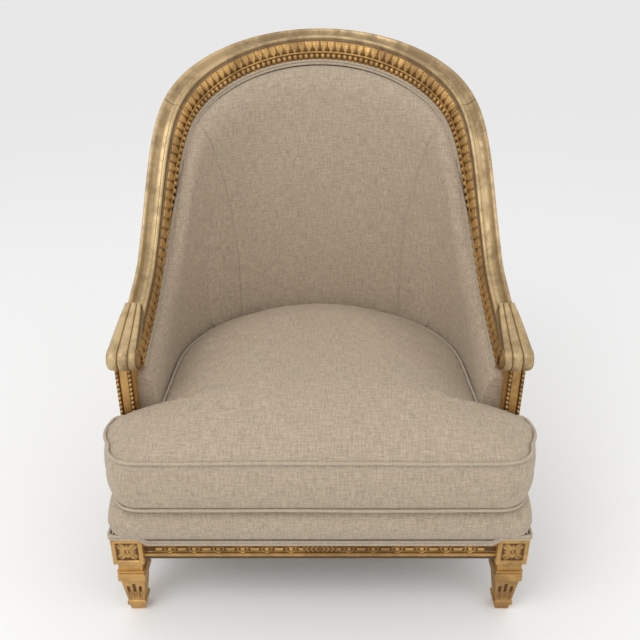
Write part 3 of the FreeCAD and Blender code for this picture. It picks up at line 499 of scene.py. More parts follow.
def gilt_finish(name, leaf, clay_and_shade, group, metal=0.62, rough=0.38):
    """Old gilding, rubbed through to the clay colour where worn, and darkened towards it as painted shade
    where the mesh's recess shade value is high.
    """
    _, tree, skin = shader(name)
    old = add_node(tree, "ShaderNodeGroup", node_tree=group)
    hollow = add_node(tree, "ShaderNodeAttribute", attribute_name="recess_shade")
    worn = [part * 0.62 + low * 0.38 for part, low in zip(leaf, clay_and_shade)]
    bright = [min(1.0, part * 1.12) for part in leaf]
    gold = blend(tree, old.outputs["Wear"], (*bright, 1), (*worn, 1))
    # Painted shade: the recess shade value mixes the gold towards the clay colour, darkest in the deepest
    # hollows.
    depth = spread(tree, hollow.outputs["Fac"], 0.25, 1.0, 0.0, 0.93)
    tree.links.new(blend(tree, depth, gold, (*clay_and_shade, 1)), skin.inputs["Base Color"])
    gloss = spread(tree, old.outputs["Wear"], 0.0, 1.0, rough - 0.06, rough + 0.2)
    tree.links.new(gloss, skin.inputs["Roughness"])
    roughen(tree, skin, old.outputs["Height"], 0.4, 0.0008)
    skin.inputs["Metallic"].default_value = metal


def wood_finish(name, base, group):
    """Bare wood with an upright grain."""
    _, tree, skin = shader(name)
    old = add_node(tree, "ShaderNodeGroup", node_tree=group)
    place = add_node(tree, "ShaderNodeNewGeometry").outputs["Position"]
    stretch = add_node(tree, "ShaderNodeMapping", {"Vector": place, "Scale": (120, 120, 9)})
    grain = mottle(tree, stretch.outputs[0], 1.0, detail=5.0)
    dark = [part * 0.6 for part in base]
    tree.links.new(blend(tree, grain, (*dark, 1), (*base, 1)), skin.inputs["Base Color"])
    roughen(tree, skin, old.outputs["Height"], 0.2, 0.0005)
    skin.inputs["Roughness"].default_value = 0.7


def wire_finish(name, base, spots):
    """Steel wire with spots of rust."""
    _, tree, skin = shader(name)
    place = add_node(tree, "ShaderNodeNewGeometry").outputs["Position"]
    rust = mottle(tree, place, 160.0, detail=4.0)
    tree.links.new(blend(tree, rust, (*base, 1), (*spots, 1)), skin.inputs["Base Color"])
    skin.inputs["Metallic"].default_value = 0.8
    skin.inputs["Roughness"].default_value = 0.45


def finish(name):
    """A finish made before."""
    return bpy.data.materials[name]


# Carving: heights run from 0 in the hollows to 1 on the tops

def leaf_height(along, down):
    """Leaf tips side by side, pointing down. along counts leaves, down runs from 0 to 1."""
    ground, waist, vein_width = 0.35, 0.35, 0.13
    across = abs(along % 1 - 0.5) * 2
    half = 1.0 - 0.72 * max(0.0, (down - waist) / (1 - waist)) ** 1.6
    half *= 1 + 0.06 * math.cos(down * 22)
    edge = across / half
    if edge > 1:
        between = abs((along + 0.5) % 1 - 0.5) * 2
        return 0.42 * max(0.0, 1 - between / 0.22) * max(0.0, 1 - abs(down - 0.72) / 0.3)
    lobe = math.sin(math.pi * min(1.0, edge ** 0.8)) ** 0.6
    vein = math.exp(-(across / vein_width) ** 2)
    return ground + (1 - ground) * max(lobe * (1 - 0.25 * down), vein * 0.8) * (1 - edge ** 6)


def bead_height(along, across):
    """Beads in a channel. along counts beads, across runs from -1 to 1."""
    half_length, half_width = 0.40, 0.92
    reach = (along % 1 - 0.5) / half_length
    swell = 1 - reach ** 2 - (across / half_width) ** 2
    return math.sqrt(swell) if swell > 0 else 0.0


def ribbon_height(x, z, first, pitch):
    """Berries tied in a ribbon between short rods, either side of a leaf tie. Millimetres."""
    last_berry, chevron_pitch, face_half = 5, 7.0, 7.8
    berry_radius, loop_radius, fold_reach = 4.6, 6.9, 10.2
    rod_start, rod_round, rod_radius, edge_height = 11.5, 2.5, 3.4, 6.3
    x = abs(x)
    if x < first - pitch / 2:
        chevron = (x * 0.9 + abs(z) * 0.7) % chevron_pitch
        ridge = 0.55 + 0.45 * math.cos(chevron / chevron_pitch * 2 * math.pi)
        return 0.85 * ridge * max(0.0, 1 - (abs(z) / face_half) ** 4)
    nearest = max(0, min(last_berry, round((x - first) / pitch)))
    off = x - first - nearest * pitch
    berry = math.sqrt(max(0.0, 1 - (math.hypot(off, z) / berry_radius) ** 2))
    loop = 0.85 * math.exp(-((math.hypot(off * 0.92, z * 1.05) - loop_radius) / 1.15) ** 2)
    fold = 0.6 * math.exp(-(abs(off) - fold_reach + abs(z) * 0.35) ** 2)
    rod = 0.0
    if rod_start < abs(off) < 24:
        rounded = min(1.0, (abs(off) - rod_start) / rod_round)
        rod = 0.9 * rounded * math.sqrt(max(0.0, 1 - (z / rod_radius) ** 2))
    edge = 0.5 * math.exp(-((abs(z) - edge_height) / 0.9) ** 2) if abs(off) > 9 else 0.0
    return max(berry, loop, fold, rod, edge)


def rosette_height(across, up):
    """Square sunk panel with a pearl, four broad corner leaves and four petals. Millimetres."""
    panel_half, quirk_half, pearl_radius, pearl_channel = 19.0, 18.0, 3.6, 4.4
    place = max(abs(across), abs(up))
    reach = math.hypot(across, up)
    turn = math.atan2(up, across)
    if place > panel_half:
        return 1.0
    if place > quirk_half:
        return 0.25
    if reach < pearl_radius:
        return math.sqrt(1 - (reach / pearl_radius) ** 2)
    if reach < pearl_channel:
        return 0.1
    corner = abs(math.sin(2 * turn))
    leaf_end = 7.0 + 16.5 * corner ** 1.3
    leaf = 0.0
    if reach < leaf_end:
        leaf = 0.95 * (1 - (reach / leaf_end) ** 3) ** 0.6 * (0.55 + 0.45 * corner)
        leaf -= 0.35 * math.exp(-((1 - corner) / 0.03) ** 2)
        leaf += 0.12 * math.cos(reach * 2.1)
    side = abs(math.cos(2 * turn))
    petal_end = 6.0 + 9.5 * side ** 4
    petal = 0.0
    if reach < petal_end and side > 0.6:
        petal = 0.8 * math.sqrt(1 - (reach / petal_end) ** 4)
    return max(0.0, min(1.0, max(leaf, petal)))


# Operators

class ArmchairFinishes(bpy.types.Operator):
    """Makes the finishes and gives them to the frame's own nodes."""
    bl_idname = "armchair.finishes"
    bl_label = "Finishes"

    def execute(self, context):
        colours = context.scene.armchair_finishes
        weave = linen_group()
        leaf = leaf_group()
        cloth_finish("slubby linen", colours.linen, weave)
        cloth_finish("cord linen", colours.cord, weave, dark=0.8, relief=0.25)
        cloth_finish("hessian", colours.hessian, weave, dark=0.6, relief=0.6)
        cloth_finish("jute webbing", colours.jute, weave, dark=0.6, relief=0.6)
        cloth_finish("wadding", colours.wadding, weave, dark=0.85, relief=0.2)
        gilt_finish("carved gilding", colours.gold, colours.clay_and_shade, leaf)
        gilt_finish("plain gilding", colours.pale_gold, colours.clay_and_shade, leaf, metal=0.5, rough=0.42)
        wood_finish("bare beech", colours.beech, leaf)
        wire_finish("spring wire", colours.wire, colours.rust)
        finishes = {"giltwood": "plain gilding", "beech": "bare beech", "linen": "slubby linen",
                    "welt_linen": "cord linen", "stuffing": "wadding", "canvas": "hessian",
                    "webbing": "jute webbing", "spring_steel": "spring wire"}
        for row in frame["record"]["subparts"]:
            mesh = frame["nodes"][row["node"]].data
            mesh.materials.clear()
            mesh.materials.append(finish(finishes[row["material_slot"]]))
        return {"FINISHED"}


class ArmchairTopRail(bpy.types.Operator):
    """Crest and arm rails: mouldings, leaf-tip band and bead row."""
    bl_idname = "armchair.top_rail"
    bl_label = "Top rail"
    joint_gap = 0.0003
    leaf_datum = 0.7
    bead_sink = 0.0008
    # Painted shade for the plain mouldings: the cove and the quirk below the ridge are darkened towards the
    # clay colour.
    shade = {"cove": 0.5, "quirk": 0.85}

    @staticmethod
    def hollow(inset, drop):
        """Name of the hollow between plain mouldings that a point lies in, which gets painted shade."""
        if 7 < inset < 21 and 6 < drop < 15:
            return "cove"
        return "quirk" if 21 < drop < 28 else None

    def profile(self):
        """Section from the outside foot over the top to the inside foot, drawn in millimetres.

        Each point has its inset, its drop, the band it lies in and the share across that band.
        """
        leaf_count, bead_count = 14, 11
        mouldings = [(0, 70)]
        mouldings += line_points((0, 70), (0, 5), 5)
        mouldings += arc_points((0, 5), (3.5, 0.5), (7, 4), 7)
        mouldings += arc_points((7, 4), (12.5, 12.8), (22, 17), 9)
        mouldings += arc_points((22, 17), (26.5, 15.5), (29, 20), 7)
        mouldings += arc_points((29, 20), (28.6, 24.5), (31, 27), 4)
        leaves = arc_points((31, 27), (34.5, 36), (35, 47), leaf_count)
        channel = line_points((33, 50.4), (33, 62.6), bead_count)[:-1]
        path = [(x, y, self.hollow(x, y), 0) for x, y in mouldings]
        path += [(x, y, "leaf", index / (leaf_count - 1)) for index, (x, y) in enumerate(leaves)]
        path += [(35.4, 47.4, None, 0), (35.4, 50, None, 0), (33, 50.4, None, 0)]
        path += [(x, y, "bead", -1 + 2 * (index + 1) / bead_count) for index, (x, y) in enumerate(channel)]
        path += [(32.6, 63, None, 0), (30, 63, None, 0), (30, 70, None, 0)]
        return [(x * MM, y * MM, band, share) for x, y, band, share in path]

    def carve(self, tub, sizes, side, first, last):
        """One length of rail: points, faces and the painted shade of each point, darker in its hollows."""
        profile = self.profile()
        rings, recess_shade = [], []
        for along, run in tub.stations(first, last, sizes.step):
            section = tub.section(along)
            ring = []
            for inset, drop, band, share in profile:
                # Painted shade: the leaf-tip and bead bands darken where their carving sinks.
                hollow = self.shade.get(band, 0.0)
                if band == "leaf":
                    top = leaf_height(run / sizes.leaf_pitch, share)
                    inset += (top - self.leaf_datum) * sizes.leaf_relief
                    hollow = 1 - top
                elif band == "bead":
                    top = bead_height(run / sizes.bead_pitch, share)
                    inset += top * sizes.bead_relief - self.bead_sink
                    hollow = 1 - top
                ring.append(tub.rail_point(section, inset, drop))
                recess_shade.append(hollow)
            rings.append(ring)
        points, faces = sweep(rings)
        points, faces = flipped(side, points, faces)
        return points, faces, recess_shade

    def execute(self, context):
        tub, sizes = Tub(), context.scene.armchair_carving
        joint = tub.sizes.joint
        right = self.carve(tub, sizes, 1, 0.0, joint - self.joint_gap)
        left = self.carve(tub, sizes, -1, 0.0, joint - self.joint_gap)
        points, faces = joined(right[:2], left[:2])
        crest = add_piece("crest_carved", points, faces, finish("carved gilding"), "giltwood",
                          ["crest_rail"], recess_shade=right[2] + left[2])
        crest.data.materials.append(finish("plain gilding"))
        pieces = [crest]
        for side, word in SIDES:
            points, faces, recess_shade = self.carve(tub, sizes, side, joint + self.joint_gap, tub.end)
            arm = add_piece("arm_rail_carved_" + word, points, faces, finish("carved gilding"), "giltwood",
                            ["arm_rail_" + word], recess_shade=recess_shade)
            arm.data.materials.append(finish("plain gilding"))
            pieces.append(arm)
        count = len(self.profile())
        first_leaf = [band for _, _, band, _ in self.profile()].index("leaf")
        for piece in pieces:
            for face in piece.data.polygons:
                if len(face.vertices) == 4 and max(v % count for v in face.vertices) < first_leaf:
                    face.material_index = 1
        return {"FINISHED"}


class ArmchairArmEnds(bpy.types.Operator):
    """Reeded arm ends that roll forward and under round an eye, and the posts under them."""
    bl_idname = "armchair.arm_ends"
    bl_label = "Arm ends and posts"
    start = Vector((0, -0.1385, 0.505))
    eye = Vector((0, -0.2285, 0.443))
    roll = 0.020
    depth = 0.027
    skin = 0.001
    inner, inner_flare = 0.309, 0.009
    outer, outer_flare = 0.338, 0.010
    cusps = (0.0, 0.28, 0.64, 1.0)
    cusp_depth = 0.0045
    post_x = (0.316, 0.343)
    post_y = (-0.2275, -0.1875)
    post_z = (0.166, 0.440)
    channel_half = 7.4
    post_bead_pitch = 0.0088

    def ring(self, flare, centre, out, thick):
        """Section of the arm end: three reeds over a flat. flare runs from 0 to 1 at the roll."""
        side_shade, cusp_shade, steps = 0.3, 0.9, 8
        outer = self.outer + flare * self.outer_flare
        inner = self.inner - flare * self.inner_flare
        cusps = [inner + cusp * (outer - inner) for cusp in self.cusps]
        points, hollow = [centre + Vector((inner, 0, 0))], [side_shade]
        for left, right in zip(cusps, cusps[1:]):
            for step in range(steps + 1):
                across = step / steps
                rise = math.sqrt(1 - (2 * across - 1) ** 2 * 0.96)
                points.append(centre + Vector((left + (right - left) * across, 0, 0))
                              + out * (thick - self.cusp_depth * (1 - rise)))
                hollow.append(cusp_shade if step in (0, steps) else 0.0)
        points.append(centre + Vector((outer, 0, 0)))
        hollow.append(side_shade)
        return points, hollow

    def scroll(self):
        """Arm end that runs down its slope and rolls under round the eye."""
        reach = self.start - self.eye
        distance = math.hypot(reach.y, reach.z)
        slope = math.atan2(reach.z, reach.y) - math.asin(self.roll / distance)
        normal = Vector((0, -math.sin(slope), math.cos(slope)))
        down = Vector((0, -math.cos(slope), -math.sin(slope)))
        run = math.sqrt(distance ** 2 - self.roll ** 2)
        slope_steps, turn_step, last_turn = 16, 6, 276
        rings = []
        for step in range(slope_steps + 1):
            share = step / slope_steps
            depth = self.depth + (self.roll - self.skin - self.depth) * share
            foot = self.start + down * (run * share) - normal * depth
            rings.append(self.ring(max(0.0, share - 0.05) ** 0.7, foot, normal, depth))
        for turn in range(turn_step, last_turn + 1, turn_step):
            spin = math.radians(turn)
            out = Vector((0, normal.y * math.cos(spin) - normal.z * math.sin(spin),
                          normal.y * math.sin(spin) + normal.z * math.cos(spin)))
            rings.append(self.ring(1.0, self.eye + out * self.skin, out, self.roll - self.skin))
        points, faces = sweep([ring for ring, _ in rings])
        return points, faces, [value for _, hollow in rings for value in hollow]

    def volute(self, x):
        """Raised spiral and eye on the flat side of the roll."""
        steps, turns, first_turn, cord = 60, 1.35, math.radians(20), 0.0013
        widest, drawn_in = 0.86, 0.62
        eye, eye_rise, corners = 0.0042, 0.0022, 14
        outward = math.copysign(eye_rise, x - 0.32)
        path = []
        for step in range(steps + 1):
            share = step / steps
            reach = self.roll * (widest - drawn_in * share)
            turn = first_turn + share * turns * 2 * math.pi
            path.append(self.eye + Vector((x, reach * math.cos(turn), reach * math.sin(turn))))
        rings = []
        for share in (0.0, 0.35, 0.7, 0.9, 1.0):
            radius = eye * math.sqrt(max(0.02, 1 - share ** 2))
            ring = []
            for corner in range(corners):
                turn = 2 * math.pi * corner / corners
                spot = Vector((x + outward * share, radius * math.cos(turn), radius * math.sin(turn)))
                ring.append(self.eye + spot)
            rings.append(ring)
        return joined(tube(path, cord), sweep(rings))

    def post(self):
        """Post with beaded edges on a channel in front and reeds on its inner side."""
        rows, columns, reed_columns = 230, 36, 25
        ground, bead_rise, bead_middle, bead_half = 0.0025, 0.0035, 10.4, 2.9
        channel_sink, reed_base, reed_rise = 0.0012, 0.0006, 0.0026
        (inner, outer), (front, back), (low, high) = self.post_x, self.post_y, self.post_z
        edge = front + 0.003
        rings, recess_shade = [], []
        for row in range(rows + 1):
            z = low + (high - low) * row / rows
            ring = []
            for column in range(columns + 1):
                share = column / columns
                off = abs(share - 0.5) * (outer - inner) / MM
                beaded = off >= self.channel_half
                top = 0.0
                if beaded:
                    top = bead_height(z / self.post_bead_pitch, (off - bead_middle) / bead_half)
                rise = bead_rise * top if beaded else -channel_sink
                ring.append(Vector((inner + (outer - inner) * share, front + ground - rise, z)))
                # Painted shade: a little in the channel, more between the beads.
                recess_shade.append(0.15 if off < self.channel_half - 0.8 else 1 - top)
            ring.append(Vector((outer, edge, z)))
            ring.append(Vector((outer, back, z)))
            ring.append(Vector((inner, back, z)))
            # Painted shade on the back corners of the post.
            recess_shade += [0.0, 0.2, 0.2]
            for column in range(1, reed_columns):
                share = column / reed_columns
                reed = abs(math.sin(share * 3 * math.pi))
                x = inner - reed_base - reed_rise * reed ** 0.6
                ring.append(Vector((x, back + (edge - back) * share, z)))
                # Painted shade in the grooves between the reeds.
                recess_shade.append(0.9 * (1 - reed) ** 2)
            rings.append(ring)
        points, faces = sweep(rings)
        return points, faces, recess_shade

    def execute(self, context):
        for side, word in SIDES:
            points, faces, recess_shade = self.scroll()
            add_piece("arm_scroll_" + word, *flipped(side, points, faces), finish("plain gilding"),
                      "giltwood", ["arm_rail_" + word], recess_shade=recess_shade)
            sides = joined(self.volute(self.inner - self.inner_flare + 0.0005),
                           self.volute(self.outer + self.outer_flare - 0.0005))
            add_piece("arm_volute_" + word, *flipped(side, *sides), finish("carved gilding"), "giltwood")
            points, faces, recess_shade = self.post()
            add_piece("arm_post_carved_" + word, *flipped(side, points, faces), finish("carved gilding"),
                      "giltwood", ["arm_post_" + word], recess_shade=recess_shade)
        return {"FINISHED"}


class ArmchairFrontRail(bpy.types.Operator):
    """Front seat rail with ribbon and berries between fillets."""
    bl_idname = "armchair.front_rail"
    bl_label = "Front seat rail"
    front, back, half = -0.3445, -0.3115, 0.2965
    low, middle, high = 0.126, 0.141, 0.166
    ground, quirk, relief = 3.6, 2.6, 3.4
    columns = 640

    def levels(self):
        """Heights of the rail's face from below, each with its depth behind the front in millimetres."""
        carved = [(0.1335 + 0.0150 * step / 20, self.ground) for step in range(21)]
        return [(self.low, 1.0), (0.1268, 0.2), (0.1325, 0.0), (0.1335, self.quirk), *carved,
                (0.1492, self.quirk), (0.1500, 0.4), (0.1560, 0.4), (0.1565, 2.0), (self.high, 2.0)]

    def execute(self, context):
        sizes = context.scene.armchair_carving
        rings, recess_shade = [], []
        for column in range(self.columns + 1):
            x = -self.half + 2 * self.half * column / self.columns
            ring = [Vector((x, self.back, self.low))]
            recess_shade.append(0.0)
            for z, depth in self.levels():
                # Painted shade: the quirks are darkened, and the ground between ribbon, berries and rods
                # darkens where the carving sinks.
                hollow = 0.8 if depth == self.quirk else 0.0
                if depth == self.ground:
                    top = ribbon_height(x / MM, (z - self.middle) / MM, sizes.berry_first / MM,
                                        sizes.berry_pitch / MM)
                    depth -= self.relief * top
                    hollow = 1 - top
                ring.append(Vector((x, self.front + depth * MM, z)))
                recess_shade.append(hollow)
            ring.append(Vector((x, self.back, self.high)))
            recess_shade.append(0.0)
            rings.append(ring)
        points, faces = sweep(rings)
        faces = [tuple(reversed(face)) for face in faces]
        add_piece("front_rail_carved", points, faces, finish("carved gilding"), "giltwood",
                  ["front_seat_rail"], recess_shade=recess_shade)
        return {"FINISHED"}


class ArmchairFrontLegs(bpy.types.Operator):
    """Square tapered legs with stopped flutes under blocks with a rosette."""
    bl_idname = "armchair.front_legs"
    bl_label = "Front legs"
    centre = Vector((0.322, -0.3265, 0))
    profile = ((0, 11.5), (3, 12.0), (12, 13.5), (13, 15.6), (14, 16), (20, 16), (21, 15.4), (22, 14),
               (73, 20), (74.4, 21.9), (76.5, 23), (78, 23.2), (88.6, 23.2), (89, 22.8), (91.6, 22.6),
               (92, 21.3), (95, 21.3), (95.3, 22.9), (98, 23.2), (98.2, 20.5), (116, 20.5))
    pace = 1.3
    flutes = ((-0.58, 60), (0.0, 66), (0.58, 60))
    flute_foot, flute_half, flute_depth, husk_top = 25, 0.17, 0.0024, 44
    block_low, block_high, block_half = 116, 170, 26
    rosette_depth = 0.0026

    def square(self, z, half, relief, count=40):
        """Ring of a square with a relief on each side: relief(side, across) gives rise and painted shade."""
        ring, recess_shade = [], []
        ways = ((Vector((0, -1, 0)), Vector((1, 0, 0))), (Vector((1, 0, 0)), Vector((0, 1, 0))),
                (Vector((0, 1, 0)), Vector((-1, 0, 0))), (Vector((-1, 0, 0)), Vector((0, -1, 0))))
        for side, (out, along) in enumerate(ways):
            for index in range(count):
                across = -1 + 2 * index / count
                rise, hollow = relief(side, across)
                ring.append(self.centre + out * (half + rise) + along * (half * across) + Vector((0, 0, z)))
                recess_shade.append(hollow)
        return ring, recess_shade

    def flute(self, z, across):
        """Three flutes that stop short, each with a husk in its lower part."""
        hollow = 0.0
        for column, top in self.flutes:
            if not self.flute_foot < z < top:
                continue
            off = (across - column) / self.flute_half
            reach = min(1.0, (top - z) / 4, (z - self.flute_foot) / 2)
            cup = math.sqrt(max(0.0, 1 - off ** 2)) * math.sqrt(reach)
            husk = 0.75 * math.sqrt(max(0.0, 1 - (off / 0.75) ** 2)) if z < self.husk_top else 0.0
            hollow = max(hollow, cup - husk * cup)
        return hollow

    def leg(self):
        """Square leg that follows its profile, with its flutes."""
        levels = []
        for (low, first), (high, second) in zip(self.profile, self.profile[1:]):
            count = max(1, round((high - low) / self.pace))
            levels += [(low + (high - low) * step / count, first + (second - first) * step / count)
                       for step in range(count)]
        levels.append(self.profile[-1])
        rings, recess_shade = [], []
        for z, half in levels:
            def fluted(side, across):
                depth = self.flute(z, across)
                # Painted shade in the flutes, darker where they are deepest.
                return -self.flute_depth * depth, 1.1 * depth
            ring, hollow = self.square(z * MM, half * MM, fluted)
            rings.append(ring)
            recess_shade += hollow
        return sweep(rings), recess_shade

    def block(self):
        """Block with a rosette on its front and on its outer side."""
        rows, columns = 60, 60
        middle = (self.block_low + self.block_high) / 2
        rings, recess_shade = [], []
        for row in range(rows + 1):
            z = self.block_low + (self.block_high - self.block_low) * row / rows

            def carved(side, across):
                if side > 1:
                    return 0.0, 0.0
                top = rosette_height(across * self.block_half, z - middle)
                edge = max(abs(across) * self.block_half - 25, abs(z - middle) - 26, 0)
                # Painted shade in the rosette's hollows.
                return self.rosette_depth * (top - 1) - 0.0008 * edge, 1 - top
            ring, hollow = self.square(z * MM, self.block_half * MM, carved, columns)
            rings.append(ring)
            recess_shade += hollow
        return sweep(rings), recess_shade

    def execute(self, context):
        leg, leg_shade = self.leg()
        block, block_shade = self.block()
        points, faces = joined(leg, block)
        for side, word in SIDES:
            add_piece("front_leg_carved_" + word, *flipped(side, points, faces), finish("carved gilding"),
                      "giltwood", ["front_leg_" + word], recess_shade=leg_shade + block_shade)
        return {"FINISHED"}


class ArmchairInsideBack(bpy.types.Operator):
    """Padding inside the tub in three linen panels, with the double welt above it."""
    bl_idname = "armchair.inside_back"
    bl_label = "Inside back"
    seam_half, seam_start, seam_radius, seam_rise = 0.196, 0.280, 1.015, 0.52
    seam_inset, seam_tuck = 0.050, 0.0032
    low, back, lip, face, roll = 0.060, 0.022, 0.030, 0.0555, 0.062
    welt_gap, top_gap = 0.002, 0.003
    wing_end, post_back = 0.735, -0.2155
    cord_inset, cord_drops = 0.0325, (0.0660, 0.0712)
    wave, pull = 0.0018, 0.0011

    def seam_along(self, tub, up):
        """Distance along the tub of the seams between back and wings, at a height."""
        above = max(0.0, min(self.seam_rise, up - self.seam_start))
        place = self.seam_half + self.seam_radius - math.sqrt(self.seam_radius ** 2 - above ** 2)
        return tub.radius * math.asin(min(0.999, place / (tub.radius - self.seam_inset)))

    def surface(self, tub, along, share):
        """A point of the padding's face: share runs from the welt down to the seat."""
        spot, top = tub.foot(along, self.welt_gap)
        top -= self.top_gap
        roll = min(self.roll, (top - self.low) * 0.6)
        up = top + (self.low - top) * share
        drop = min(1.0, (top - up) / roll)
        inset = self.lip + (self.face - self.lip) * math.sqrt(1 - (1 - drop) ** 2)
        return spot, up, inset

    def settle(self, tub, place, across, share):
        """A point of a panel whose sides shift with height, found in a few rounds."""
        up = 0.5
        for _ in range(6):
            along = place(across, up)
            up = self.surface(tub, along, share)[1]
        along = place(across, up)
        return along, self.surface(tub, along, share)

    def panel(self, tub, place, columns, seams, rows=90):
        """Closed panel. place(column share, height) gives the distance along the tub."""
        rings = []
        for column in range(columns + 1):
            across = column / columns
            edge = min(across, 1 - across)
            seamed = seams == 2 or across < 0.5
            tuck = self.seam_tuck * math.exp(-(edge * columns / 1.1) ** 2) if seamed else 0.0
            ring = []
            for row in range(rows + 1):
                share = (row / rows) ** 1.25
                along, (spot, up, inset) = self.settle(tub, place, across, share)
                wave = noise.noise(Vector((along * 9, up * 7, 1.7))) * self.wave
                pull = noise.noise(Vector((along * 34, up * 5, 4.2))) * self.pull * math.exp(-share * 9)
                ring.append(tub.point(spot, up, inset - tuck + (wave + pull) * min(1.0, share * 6)))
            for height, share in ((0.1, 1.0), (0.7, 0.0)):
                spot, up, _ = self.surface(tub, place(across, height), share)
                ring.append(tub.point(spot, up, self.back))
            rings.append(ring)
        return sweep(rings)

    def execute(self, context):
        tub = Tub()
        middle = self.panel(tub, lambda share, up: (2 * share - 1) * self.seam_along(tub, up), 130, 2)
        back = add_piece("inside_back_linen", *middle, finish("slubby linen"), "linen", ["inside_back_pad"])

        def wing(share, up):
            start = self.seam_along(tub, up)
            return start + (self.wing_end - start) * share
        points, faces = self.panel(tub, wing, 110, 1)
        points = [Vector((p.x, max(p.y, self.post_back), p.z)) for p in points]
        for side, word in SIDES:
            pad = add_piece("inside_wing_linen_" + word, *flipped(side, points, faces),
                            finish("slubby linen"), "linen", ["inside_wing_pad_" + word])
        cords = rail_cords(tub, self.cord_inset, self.cord_drops, tub.end - 0.004, 0.006)
        add_piece("inside_double_welt", *cords, finish("cord linen"), "welt_linen", ["inner_double_welt"])
        return {"FINISHED"}


class ArmchairOutsideCovers(bpy.types.Operator):
    """Linen stretched over the outside of the tub, with a double welt along its edges."""
    bl_idname = "armchair.outside_covers"
    bl_label = "Outside covers"
    outer, inner, wave = 0.0008, 0.0024, 0.0009
    low, rail_gap = 0.1665, 0.0006
    seam_turn, arm_reach = math.radians(46), 0.128
    cord_inset, cord_drops = 0.0005, (0.0735, 0.0788)

    def cover(self, tub, first, last, name, replaced):
        """Linen from the top rail down to the seat rail, between two places along the tub."""
        rows, columns = 40, max(8, round((last - first) / 0.01))
        rings = []
        for column in range(columns + 1):
            along = first + (last - first) * column / columns
            spot, top = tub.foot(along, self.rail_gap)
            low = (self.low - tub.point(spot, 0, 0).z) / tub.cosine
            ring = []
            for row in range(rows + 1):
                up = top + (low - top) * row / rows
                wave = noise.noise(Vector((along * 8, up * 8, 9.1))) * self.wave
                ring.append(tub.point(spot, up, self.outer + wave))
            ring += [tub.point(spot, up, self.inner) for up in (low, top)]
            rings.append(ring)
        points, faces = sweep(rings)
        faces = [tuple(reversed(face)) for face in faces]
        piece = add_piece(name, points, faces, finish("slubby linen"), "linen", replaced)

    def execute(self, context):
        tub = Tub()
        seam, end = tub.radius * self.seam_turn, tub.quarter + self.arm_reach
        self.cover(tub, -seam, seam, "outside_back_linen", ["outside_back_cover"])
        for side, word in SIDES:
            first, last = (seam, end) if side > 0 else (-end, -seam)
            self.cover(tub, first, last, "outside_arm_linen_" + word, ["outside_arm_cover_" + word])
        cords = rail_cords(tub, self.cord_inset, self.cord_drops, end - 0.06, 0.008)
        add_piece("outside_double_welt", *cords, finish("cord linen"), "welt_linen")
        return {"FINISHED"}


class ArmchairFixedSeat(bpy.types.Operator):
    """Fixed seat front in linen, with the double welt that steps up over the corner blocks."""
    bl_idname = "armchair.fixed_seat"
    bl_label = "Fixed seat"
    front, stop, neck, ear_flare = -0.3525, -0.2285, 0.279, 0.002
    # Height, distance behind the front and half width of each ring; the last one is the rim inside.
    levels = ((0.166, 0.006, 0.340), (0.172, 0.001, 0.344), (0.185, -0.006, 0.348),
              (0.203, -0.009, 0.350), (0.220, -0.006, 0.348), (0.229, -0.001, 0.344),
              (0.2345, 0.008, 0.338), (0.2348, 0.050, 0.300))
    rim_shrink = 0.12
    rail_welt = (-0.3470, 0.1590)
    block_welt = (-0.3535, 0.1765)

    def welt_path(self):
        """Path along the rail's face that steps up over the blocks and turns back to the posts."""
        (rail_y, rail_z), (block_y, block_z) = self.rail_welt, self.block_welt
        half = [Vector((x, rail_y, rail_z)) for x in (0, 0.150, 0.283, 0.289)]
        half += [Vector((x, block_y, block_z)) for x in (0.300, 0.306, 0.335, 0.3475)]
        half += [Vector((0.3495, -0.345, block_z)), Vector((0.3500, -0.320, block_z)),
                 Vector((0.3500, -0.229, block_z))]
        return soften([Vector((-p.x, p.y, p.z)) for p in reversed(half[1:])] + half)

    def execute(self, context):
        tub = Tub()
        rings = []
        for z, behind, ear in self.levels:
            lean = tub.sizes.centre + (z - tub.sizes.pivot) * math.tan(tub.sizes.lean)
            shrink = self.rim_shrink if z == self.levels[-1][0] else 0.0
            plan = (self.front + behind, ear, ear + self.ear_flare, self.stop, self.neck - shrink, lean)
            rings.append([Vector((x, y, z)) for x, y in tee_plan(plan)])
        deck = add_piece("fixed_seat_linen", *sweep(rings), finish("slubby linen"), "linen",
                         ["seat_deck_cover", "seat_stuffing"])
        radius = context.scene.armchair_cloth.welt
        apart = Vector((0, 0, radius * 0.95))
        path = self.welt_path()
        cords = [tube([p + apart * way for p in path], radius) for way in (-1, 1)]
        add_piece("seat_double_welt", *joined(*cords), finish("cord linen"), "welt_linen")
        return {"FINISHED"}


